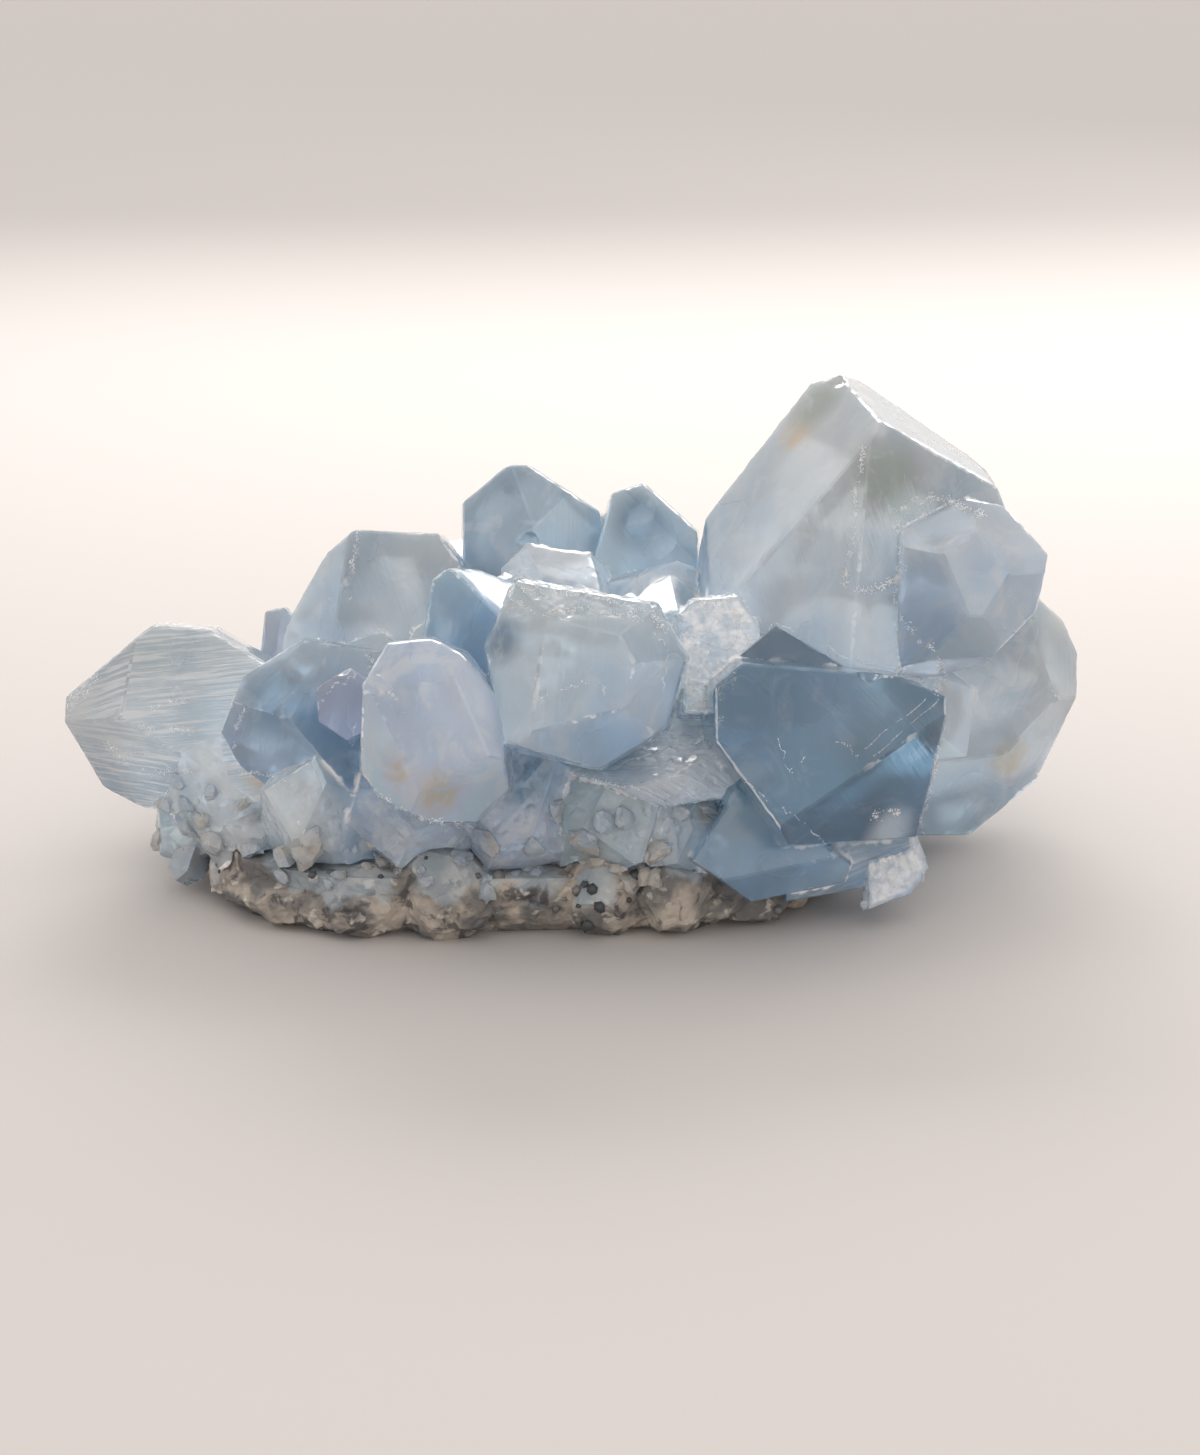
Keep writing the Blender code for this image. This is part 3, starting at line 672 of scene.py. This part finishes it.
# White frost along seams, on parts of the edges and over broken ground
frost = add(tree, "BsdfPrincipled", {"Roughness": 0.45, "Base Color": FROST_COLOUR})
tree.links.new(grit.outputs["Normal"], frost.inputs["Normal"])
seam = painted(tree, "seam_far").outputs["Fac"]
edge = painted(tree, "edge_far").outputs["Fac"]
ragged = mottle(tree, place, 420, 3, 0, 0.65)
seam_reach = compute(tree, "ADD", seam, ramp(tree, ragged, 0.3, 0.7, -0.25, 0.35))
seam_mask = ramp(tree, seam_reach, 0.05, 0.35, 1, 0)
seam_where = ramp(tree, mottle(tree, place, 95, 1), 0.45, 0.6)
edge_reach = compute(tree, "ADD", edge, ramp(tree, ragged, 0.3, 0.7, -0.1, 0.3))
edge_where = ramp(tree, mottle(tree, place, 60, 1), 0.52, 0.66)
edge_mask = compute(tree, "MULTIPLY", ramp(tree, edge_reach, 0.02, 0.16, 0.5, 0), edge_where)
white = compute(tree, "MAXIMUM", compute(tree, "MULTIPLY", seam_mask, seam_where), edge_mask)
crushed_where = ramp(tree, ragged, 0.4, 0.6, 0.3, 1)
crushed = compute(tree, "MULTIPLY", ramp(tree, broken, 0.3, 1, 0, 0.75), crushed_where)
white = compute(tree, "MAXIMUM", white, crushed)
skin = add(tree, "MixShader")
tree.links.new(white, skin.inputs[0])
tree.links.new(clear.outputs[0], skin.inputs[1])
tree.links.new(frost.outputs[0], skin.inputs[2])
out = tree.nodes["Material Output"]
tree.links.new(skin.outputs[0], out.inputs["Surface"])
inside = add(tree, "VolumeAbsorption", {"Color": PASSED_COLOUR, "Density": PASSED_DENSITY})
tree.links.new(inside.outputs["Volume"], out.inputs["Volume"])
crystals.data.materials.append(glass)

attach(crystals, "root")
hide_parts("crystals")


# The rock
# A thin plate of gritty sandy rock that the crystals grew on, grey and tan with cream,
# broken all round, with dark rounded grains bedded in it.

STONE_GREY, STONE_TAN = (0.16, 0.155, 0.15, 1), (0.46, 0.40, 0.34, 1)
SOOT_COLOUR = (0.045, 0.045, 0.05, 1)
CREAM_COLOUR = (0.72, 0.66, 0.58, 1)
ROCK_SPACING = 0.55
ROCK_BACK_SPACING = 0.8
ROCK_HIDDEN_SPACING = 3.0
# A level face larger than this, in square millimetres, lies under the crystals
BURIED_FACE = 30
# Towards the crystals the rock turns to a grey blue skin of celestite, at a height that wavers
SKIN_COLOUR = (0.44, 0.52, 0.58, 1)
SKIN_FROM, SKIN_TO, SKIN_WAVER = 4.5, 6.5, 3

shape = flat_faces(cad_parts["matrix"])
face_normals = np.array([face.normal for face in shape.faces])
spacing = []
for face in shape.faces:
    under = face.normal.z < -0.95
    buried = face.normal.z > 0.9 and face.calc_area() > BURIED_FACE
    if under or buried:
        spacing.append(ROCK_HIDDEN_SPACING)
    else:
        spacing.append(ROCK_SPACING if face.normal.y < 0.4 else ROCK_BACK_SPACING)
places, triangles, owner = even_triangles(shape, spacing, chance)
out_ways = ways_out(places, triangles, face_normals[owner])
# The sides crumble inwards, held at the floor and inside the solid's box
free = np.clip((places[:, 2] - 0.05) / 0.5, 0, 1)
hollows = waves(places, 3.2, 11, 4)
crumble = mosaic(places, 1.6, 0.55, 0.3, 4)
inward = free * (0.35 * hollows + 0.55 * crumble - 0.1)
sides = np.clip(1 - out_ways[:, 2], 0, 1)
fine = places - out_ways * (inward * sides)[:, None]
fine[:, 2] = np.maximum(fine[:, 2], 0)
low, high = (Vector(corner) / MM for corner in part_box("matrix"))
fine = np.clip(fine, low, high)
rock = new_piece("rock_plate", fine, triangles.tolist())

stone, tree, surface, place = new_material("rock")
sandy = mottled(tree, place, 190, 0.4, 0.62, detail=4, distortion=0.5)
sand = blended(tree, sandy, STONE_GREY, STONE_TAN)
soot = mottled(tree, place, 310, 0.53, 0.62, detail=4, distortion=0.9, rough=0.6)
dark = blended(tree, compute(tree, "MULTIPLY", soot, 0.8), sand, SOOT_COLOUR)
cream = mottled(tree, place, 520, 0.60, 0.68, distortion=0.4)
pale = blended(tree, compute(tree, "MULTIPLY", cream, 0.6), dark, CREAM_COLOUR)
height = add(tree, "SeparateXYZ")
tree.links.new(place, height.inputs[0])
waver = mottled(tree, place, 170, 0.3, 0.7, -SKIN_WAVER * MM, SKIN_WAVER * MM, detail=4)
limit = compute(tree, "ADD", height.outputs["Z"], waver)
skin_share = ramp(tree, limit, SKIN_FROM * MM, SKIN_TO * MM, 0, 0.5)
toward_crystals = blended(tree, skin_share, pale, SKIN_COLOUR)
tree.links.new(toward_crystals, surface.inputs["Base Color"])
tree.links.new(ramp(tree, soot, 0, 1, 0.85, 0.45), surface.inputs["Roughness"])
grit = add(tree, "Bump", {"Strength": 0.6, "Distance": 0.3 * MM})
tree.links.new(mottle(tree, place, 1500, 4, 0, 0.7), grit.inputs["Height"])
tree.links.new(grit.outputs["Normal"], surface.inputs["Normal"])
rock.data.materials.append(stone)

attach(rock, "root")
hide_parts("matrix")


# The crust
# Small lumpy and blocky crystals that cover the base and creep down over the rock,
# hazy grey blue with tan between, grown on as tightly as frost.

# For each growth: how many to a square millimetre, its smallest and largest width, its lean and its seed
CRUST_LUMPS = (0.07, 1.2, 3.4, 0.45, 4)
CRUST_POINTS = (0.012, 1.4, 3.0, 0.35, 15)
ROCK_LUMPS = (0.20, 0.7, 2.4, 0.6, 8)
CRUST_TOP = 15
CREEP_FROM = 4.5
CRUST_BLUE, CRUST_TAN = (0.61, 0.69, 0.77, 1), (0.71, 0.66, 0.60, 1)
CRUST_DIM = (0.82, 0.84, 0.87, 1)
CRUST_CLEARNESS = 0.5


def scatter_tree(name):
    """Geometry Nodes that set turned copies of one shape on a surface, thicker where its "cover" is high."""
    tree = bpy.data.node_groups.new(name, "GeometryNodeTree")
    for label, kind in (
        ("Surface", "NodeSocketGeometry"), ("Shape", "NodeSocketObject"),
        ("Per square metre", "NodeSocketFloat"), ("Smallest", "NodeSocketFloat"),
        ("Largest", "NodeSocketFloat"), ("Lean", "NodeSocketFloat"),
        ("Seed", "NodeSocketInt"), ("Material", "NodeSocketMaterial"),
    ):
        tree.interface.new_socket(label, in_out="INPUT", socket_type=kind)
    tree.interface.new_socket("Grown", in_out="OUTPUT", socket_type="NodeSocketGeometry")
    link = tree.links.new
    given = tree.nodes.new("NodeGroupInput").outputs
    cover = tree.nodes.new("GeometryNodeInputNamedAttribute")
    cover.data_type = "FLOAT"
    cover.inputs["Name"].default_value = "cover"
    density = tree.nodes.new("ShaderNodeMath")
    density.operation = "MULTIPLY"
    link(cover.outputs["Attribute"], density.inputs[0])
    link(given["Per square metre"], density.inputs[1])
    spots = tree.nodes.new("GeometryNodeDistributePointsOnFaces")
    link(given["Surface"], spots.inputs["Mesh"])
    link(density.outputs[0], spots.inputs["Density"])
    link(given["Seed"], spots.inputs["Seed"])
    lean = tree.nodes.new("FunctionNodeRandomValue")
    lean.data_type = "FLOAT_VECTOR"
    for socket, sign in ((lean.inputs[0], -1), (lean.inputs[1], 1)):
        reach = tree.nodes.new("ShaderNodeCombineXYZ")
        side = tree.nodes.new("ShaderNodeMath")
        side.operation = "MULTIPLY"
        side.inputs[1].default_value = sign
        link(given["Lean"], side.inputs[0])
        link(side.outputs[0], reach.inputs["X"])
        link(side.outputs[0], reach.inputs["Y"])
        reach.inputs["Z"].default_value = sign * math.pi
        link(reach.outputs[0], socket)
    link(given["Seed"], lean.inputs["Seed"])
    turned = tree.nodes.new("FunctionNodeEulerToRotation")
    link(lean.outputs["Value"], turned.inputs[0])
    stand = tree.nodes.new("FunctionNodeRotateRotation")
    stand.rotation_space = "LOCAL"
    link(spots.outputs["Rotation"], stand.inputs[0])
    link(turned.outputs[0], stand.inputs[1])
    size = tree.nodes.new("FunctionNodeRandomValue")
    link(given["Seed"], size.inputs["Seed"])
    link(given["Smallest"], size.inputs[2])
    link(given["Largest"], size.inputs[3])
    shape = tree.nodes.new("GeometryNodeObjectInfo")
    link(given["Shape"], shape.inputs["Object"])
    set_on = tree.nodes.new("GeometryNodeInstanceOnPoints")
    link(spots.outputs["Points"], set_on.inputs["Points"])
    link(shape.outputs["Geometry"], set_on.inputs["Instance"])
    link(stand.outputs[0], set_on.inputs["Rotation"])
    link(size.outputs[1], set_on.inputs["Scale"])
    real = tree.nodes.new("GeometryNodeRealizeInstances")
    link(set_on.outputs[0], real.inputs[0])
    coat = tree.nodes.new("GeometryNodeSetMaterial")
    link(real.outputs[0], coat.inputs["Geometry"])
    link(given["Material"], coat.inputs["Material"])
    link(coat.outputs[0], tree.nodes.new("NodeGroupOutput").inputs[0])
    return tree


scatter = scatter_tree("grow_over")


def hold_in_box(mesh):
    """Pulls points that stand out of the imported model's box back into it."""
    low, high = (Vector(corner) for corner in cad_box)
    for vert in mesh.vertices:
        vert.co = Vector(max(a, min(b, c)) for a, b, c in zip(low, high, vert.co))


def grow_over(name, mesh, cover, shape, growth, material):
    """Runs the scatter on a copy of a mesh and returns the result as one plain object."""
    per_square_mm, smallest, largest, lean, seed = growth
    values = {
        "Shape": shape, "Per square metre": per_square_mm / MM ** 2, "Smallest": smallest * MM,
        "Largest": largest * MM, "Lean": lean, "Seed": seed, "Material": material,
    }
    host_mesh = mesh.copy()
    paint(host_mesh, "cover", "FLOAT", "POINT", cover)
    host = bpy.data.objects.new(name + "_host", host_mesh)
    bpy.context.scene.collection.objects.link(host)
    change = host.modifiers.new("grow", "NODES")
    change.node_group = scatter
    for item in scatter.interface.items_tree:
        if item.name in values:
            change[item.identifier] = values[item.name]
    bpy.context.view_layer.update()
    grown = host.evaluated_get(bpy.context.evaluated_depsgraph_get())
    grown_mesh = bpy.data.meshes.new_from_object(grown)
    grown_mesh.name = name
    hold_in_box(grown_mesh)
    bpy.data.objects.remove(host)
    made = bpy.data.objects.new(name, grown_mesh)
    bpy.context.scene.collection.objects.link(made)
    return made


def seed_shape(name, points, faces):
    """A shape about one unit across for the scatter to copy."""
    mesh = bpy.data.meshes.new(name)
    mesh.from_pydata(points, [], faces)
    held = bpy.data.objects.new(name, mesh)
    bpy.context.scene.collection.objects.link(held)
    return held


def rounded_seed(name, subdivisions, unevenness, stretch, seed):
    """A seed shape from a ball with its corners pushed in and out."""
    pick = random.Random(seed)
    ball = bmesh.new()
    bmesh.ops.create_icosphere(ball, subdivisions=subdivisions, radius=0.5)
    points = []
    for vert in ball.verts:
        bump = 1 + unevenness * pick.uniform(-1, 1)
        points.append(Vector(way * share for way, share in zip(vert.co, stretch)) * bump)
    faces = [[vert.index for vert in face.verts] for face in ball.faces]
    ball.free()
    return seed_shape(name, points, faces)


blocky = seed_shape(
    "blocky",
    [
        (-0.5, -0.35, -0.5), (0.5, -0.35, -0.5), (0.5, 0.35, -0.5), (-0.5, 0.35, -0.5),
        (-0.55, -0.4, 0.35), (0.55, -0.4, 0.35), (0.55, 0.4, 0.35), (-0.55, 0.4, 0.35),
        (-0.3, 0, 0.75), (0.35, 0.05, 0.75),
    ],
    [
        (3, 2, 1, 0), (0, 1, 5, 4), (1, 2, 6, 5), (2, 3, 7, 6), (3, 0, 4, 7),
        (4, 5, 9, 8), (6, 7, 8, 9), (5, 6, 9), (7, 4, 8),
    ],
)

# Rounded lumps are most of the crust, with the blocky crystals standing between
lump = rounded_seed("lump", 2, 0.34, (1.1, 0.9, 0.5), 6)

haze, tree, surface, place = new_material("crust")
patches = mottled(tree, place, 140, 0.42, 0.62, distortion=0.5)
hue = blended(tree, patches, CRUST_BLUE, CRUST_TAN)
dim = mottled(tree, place, 700, 0.35, 0.7, detail=2)
hue = blended(tree, dim, hue, CRUST_DIM, "MULTIPLY")
tree.links.new(hue, surface.inputs["Base Color"])
surface.inputs["Transmission Weight"].default_value = CRUST_CLEARNESS
surface.inputs["IOR"].default_value = CELESTITE_IOR
gloss = mottled(tree, place, 400, 0.3, 0.7, 0.15, 0.5, detail=2)
tree.links.new(gloss, surface.inputs["Roughness"])

low_down = np.clip((CRUST_TOP - crystal_points[:, 2]) / 3, 0, 1)
on_base = np.array([name == "base" for name in names])[point_crystal]
crust = grow_over("crust_crystals", crystals.data, on_base * low_down, lump, CRUST_LUMPS, haze)
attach(crust, "root")

standing = grow_over("crust_points", crystals.data, on_base * low_down, blocky, CRUST_POINTS, haze)
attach(standing, "root")

# Lumps creep down over the sides of the rock to a wavy limit
rock_sides = out_ways[:, 2] < 0.97
creep = np.clip((fine[:, 2] - CREEP_FROM - 2.0 * waves(fine, 6, 31)) / 2.5, 0, 1) * rock_sides
over_rock = grow_over("crust_over_rock", rock.data, creep, lump, ROCK_LUMPS, haze)
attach(over_rock, "root")


# The dark grains
# Charcoal coloured grains, rounded by wear,
# that the rock holds in its broken sides.

GRAIN_DARK, GRAIN_WORN = (0.05, 0.055, 0.06, 1), (0.20, 0.19, 0.18, 1)
GRAINS = (0.42, 0.4, 1.7, 3.1, 3)
GRAINS_FROM = 1.2

grain = rounded_seed("grain", 1, 0.18, (1, 1, 1), 4)
coal, tree, surface, place = new_material("dark_grains")
worn = mottled(tree, place, 260, 0.4, 0.65, detail=2)
hue = blended(tree, worn, GRAIN_DARK, GRAIN_WORN)
tree.links.new(hue, surface.inputs["Base Color"])
gloss = mottled(tree, place, 900, 0.3, 0.7, 0.25, 0.6, detail=2)
tree.links.new(gloss, surface.inputs["Roughness"])

bedded = np.clip(waves(fine, 5, 41) * 2.2 - 0.2, 0, 1) * (fine[:, 2] > GRAINS_FROM) * rock_sides
grains = grow_over("dark_grains", rock.data, bedded, grain, GRAINS, coal)
grains.data.polygons.foreach_set("use_smooth", [True] * len(grains.data.polygons))
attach(grains, "root")

# The seed shapes have done their work
for held in (blocky, lump, grain):
    bpy.data.objects.remove(held)


# The frosted veins
# Crumbs of crushed crystal lodged along seams, cracks and knocked edges,
# bright white where they catch the light.

# Each vein by its points in the picture, its half width, and the size of its crumbs
VEINS = (
    (((862, 443), (857, 500), (851, 545), (846, 585)), 0.28, 0.16),
    (((846, 585), (870, 592), (890, 582), (906, 567)), 0.40, 0.22),
    (((893, 530), (903, 508), (930, 498), (958, 504), (985, 515)), 0.50, 0.20),
    (((898, 542), (900, 580), (893, 604)), 0.20, 0.14),
    (((903, 618), (918, 640), (934, 652)), 0.30, 0.18),
    (((738, 655), (775, 622), (812, 640), (850, 658), (905, 670)), 0.07, 0.09),
    (((872, 757), (940, 699)), 0.06, 0.09), (((864, 750), (934, 690)), 0.06, 0.09),
    (((939, 745), (931, 790), (920, 824)), 0.22, 0.16),
    (((938, 660), (942, 680), (934, 692)), 0.55, 0.24),
    (((716, 700), (728, 684), (738, 672)), 0.70, 0.10), (((722, 715), (716, 730)), 0.50, 0.09),
    (((778, 738), (790, 772)), 0.04, 0.08), (((790, 772), (806, 755)), 0.04, 0.07),
    (((836, 741), (850, 745), (858, 760)), 0.05, 0.08),
    (((742, 782), (788, 812), (828, 842)), 0.10, 0.10),
    (((512, 590), (552, 590), (600, 598), (648, 612), (670, 632)), 0.45, 0.16),
    (((512, 600), (540, 612), (590, 608), (640, 618)), 0.35, 0.14),
    (((538, 700), (562, 690), (588, 680), (602, 684), (606, 702)), 0.14, 0.10),
    (((655, 632), (668, 655), (662, 692)), 0.14, 0.12),
    (((357, 532), (352, 562), (346, 600)), 0.30, 0.17),
    (((375, 790), (402, 810), (432, 821), (472, 824)), 0.35, 0.16),
    (((366, 650), (372, 668), (388, 684), (396, 700)), 0.25, 0.16),
    (((322, 702), (332, 690), (360, 672)), 0.12, 0.13), (((352, 746), (357, 712)), 0.10, 0.12),
    (((232, 748), (238, 722), (246, 708)), 0.22, 0.15), (((240, 772), (268, 776), (294, 784)), 0.20, 0.13),
    (((70, 708), (82, 690), (96, 676)), 0.80, 0.16), (((100, 740), (126, 758)), 0.60, 0.14),
    (((148, 706), (186, 700)), 0.30, 0.12), (((130, 724), (196, 732)), 0.30, 0.12),
    (((136, 774), (192, 768)), 0.40, 0.15), (((118, 756), (160, 748)), 0.20, 0.10),
    (((296, 820), (312, 838)), 0.12, 0.12), (((572, 770), (600, 782), (640, 790)), 0.25, 0.14),
    (((690, 600), (730, 604), (742, 622)), 0.40, 0.18), (((1052, 690), (1058, 700)), 0.15, 0.14),
    (((1044, 545), (1052, 552)), 0.30, 0.20), (((872, 818), (886, 812), (902, 812)), 0.40, 0.22),
)
# How far one step in the picture is on the cluster, and how far a vein strays and breaks off in such steps
PICTURE_STEP = 0.105
WANDER = 5
GAPS_EVERY = 0.09
CRUMBS_PER_MM = 75
CRUMB_SHRINK = 0.42
CRUMB_WHITE, CRUMB_WARM = (0.88, 0.89, 0.92, 1), (0.84, 0.81, 0.78, 1)

pick = random.Random(21)
points, faces = [], []


def add_crumb(spot, way, size):
    """A tiny flattened chip with eight faces, lying on the surface."""
    across = way.orthogonal().normalized()
    up = way.cross(across)
    turn = pick.uniform(0, math.tau)
    first = across * math.cos(turn) + up * math.sin(turn)
    second = way.cross(first)
    start = len(points)
    for side, length in ((first, 1.0), (second, 0.7), (-first, 0.8), (-second, 0.6)):
        points.append(spot + side * size * length * pick.uniform(0.6, 1.2))
    points.append(spot + way * size * pick.uniform(0.3, 0.9))
    points.append(spot - way * size * 0.4)
    for k in range(4):
        faces.append((start + k, start + (k + 1) % 4, start + 4))
        faces.append((start + (k + 1) % 4, start + k, start + 5))


for path, half_width, size in VEINS:
    for start, end in zip(path, path[1:]):
        length = math.dist(start, end) * PICTURE_STEP
        spread = 0.5 * half_width / PICTURE_STEP
        for crumb in range(round(length * CRUMBS_PER_MM * (0.4 + half_width))):
            share = pick.random()
            sway = Vector((start[0] + share * 3, start[1], share * 2.5))
            aside, below = WANDER * noise.noise(sway), WANDER * noise.noise(sway + Vector((9, 4, 2)))
            across = start[0] + (end[0] - start[0]) * share + aside + pick.gauss(0, spread)
            down = start[1] + (end[1] - start[1]) * share + below + pick.gauss(0, spread)
            thick = noise.fractal(Vector((across, down, 0)) * GAPS_EVERY, 1, 2, 3) + 0.15
            hit, way, index = seen(across, down)
            if hit is not None and thick > pick.uniform(-0.2, 0.4):
                add_crumb(hit, way, CRUMB_SHRINK * size * pick.uniform(0.3, 1.5))

veins = new_piece("frosted_veins", points, faces)
hold_in_box(veins.data)

white, tree, surface, place = new_material("crushed_crystal")
dusty = mottled(tree, place, 300, 0.35, 0.65, detail=2)
hue = blended(tree, dusty, CRUMB_WHITE, CRUMB_WARM)
tree.links.new(hue, surface.inputs["Base Color"])
gloss = mottled(tree, place, 2500, 0.3, 0.7, 0.08, 0.5, detail=1)
tree.links.new(gloss, surface.inputs["Roughness"])
veins.data.materials.append(white)

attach(veins, "root")


# The floor and the light
# A wide sheet of pale warm paper under plain soft light: an even sky,
# a large window behind the cluster and a smaller soft panel at its right.

FLOOR_REACH = 3000
PAPER_COLOUR = (0.555, 0.524, 0.507, 1)
SKY_COLOUR = (1.0, 0.96, 0.93, 1)
SKY_STRENGTH = 1.08

corners = [(-FLOOR_REACH, -FLOOR_REACH, 0), (FLOOR_REACH, -FLOOR_REACH, 0)]
corners += [(FLOOR_REACH, FLOOR_REACH, 0), (-FLOOR_REACH, FLOOR_REACH, 0)]
floor = new_piece("floor", corners, [(0, 1, 2, 3)])
paper = bpy.data.materials.new("paper")
paper.use_nodes = True
surface = paper.node_tree.nodes["Principled BSDF"]
surface.inputs["Base Color"].default_value = PAPER_COLOUR
surface.inputs["Roughness"].default_value = 0.9
floor.data.materials.append(paper)

world = bpy.data.worlds.new("studio")
bpy.context.scene.world = world
world.use_nodes = True
sky = world.node_tree.nodes["Background"]
sky.inputs["Color"].default_value = SKY_COLOUR
sky.inputs["Strength"].default_value = SKY_STRENGTH
bpy.context.scene.view_settings.view_transform = "Standard"


def soft_light(name, place, aim, width, height, power, colour, spread=180):
    """A glowing panel at a place, turned to what it lights. Sizes are in metres here."""
    lamp = bpy.data.lights.new(name, "AREA")
    lamp.shape = "RECTANGLE"
    lamp.size = width
    lamp.size_y = height
    lamp.energy = power
    lamp.color = colour
    lamp.spread = math.radians(spread)
    held = bpy.data.objects.new(name, lamp)
    held.location = place
    held.rotation_euler = (Vector(aim) - Vector(place)).to_track_quat("-Z", "Y").to_euler()
    bpy.context.scene.collection.objects.link(held)


soft_light(
    "window", place=(0.06, 0.52, 0.34), aim=(0.08, 0.20, 0.0), width=0.6, height=0.26,
    power=0.66, colour=(1.0, 0.97, 0.94), spread=70,
)
soft_light(
    "side_panel", place=(0.42, 0.52, 0.31), aim=(0, 0, 0.02), width=0.26, height=0.16,
    power=0.7, colour=(1.0, 0.99, 0.98),
)
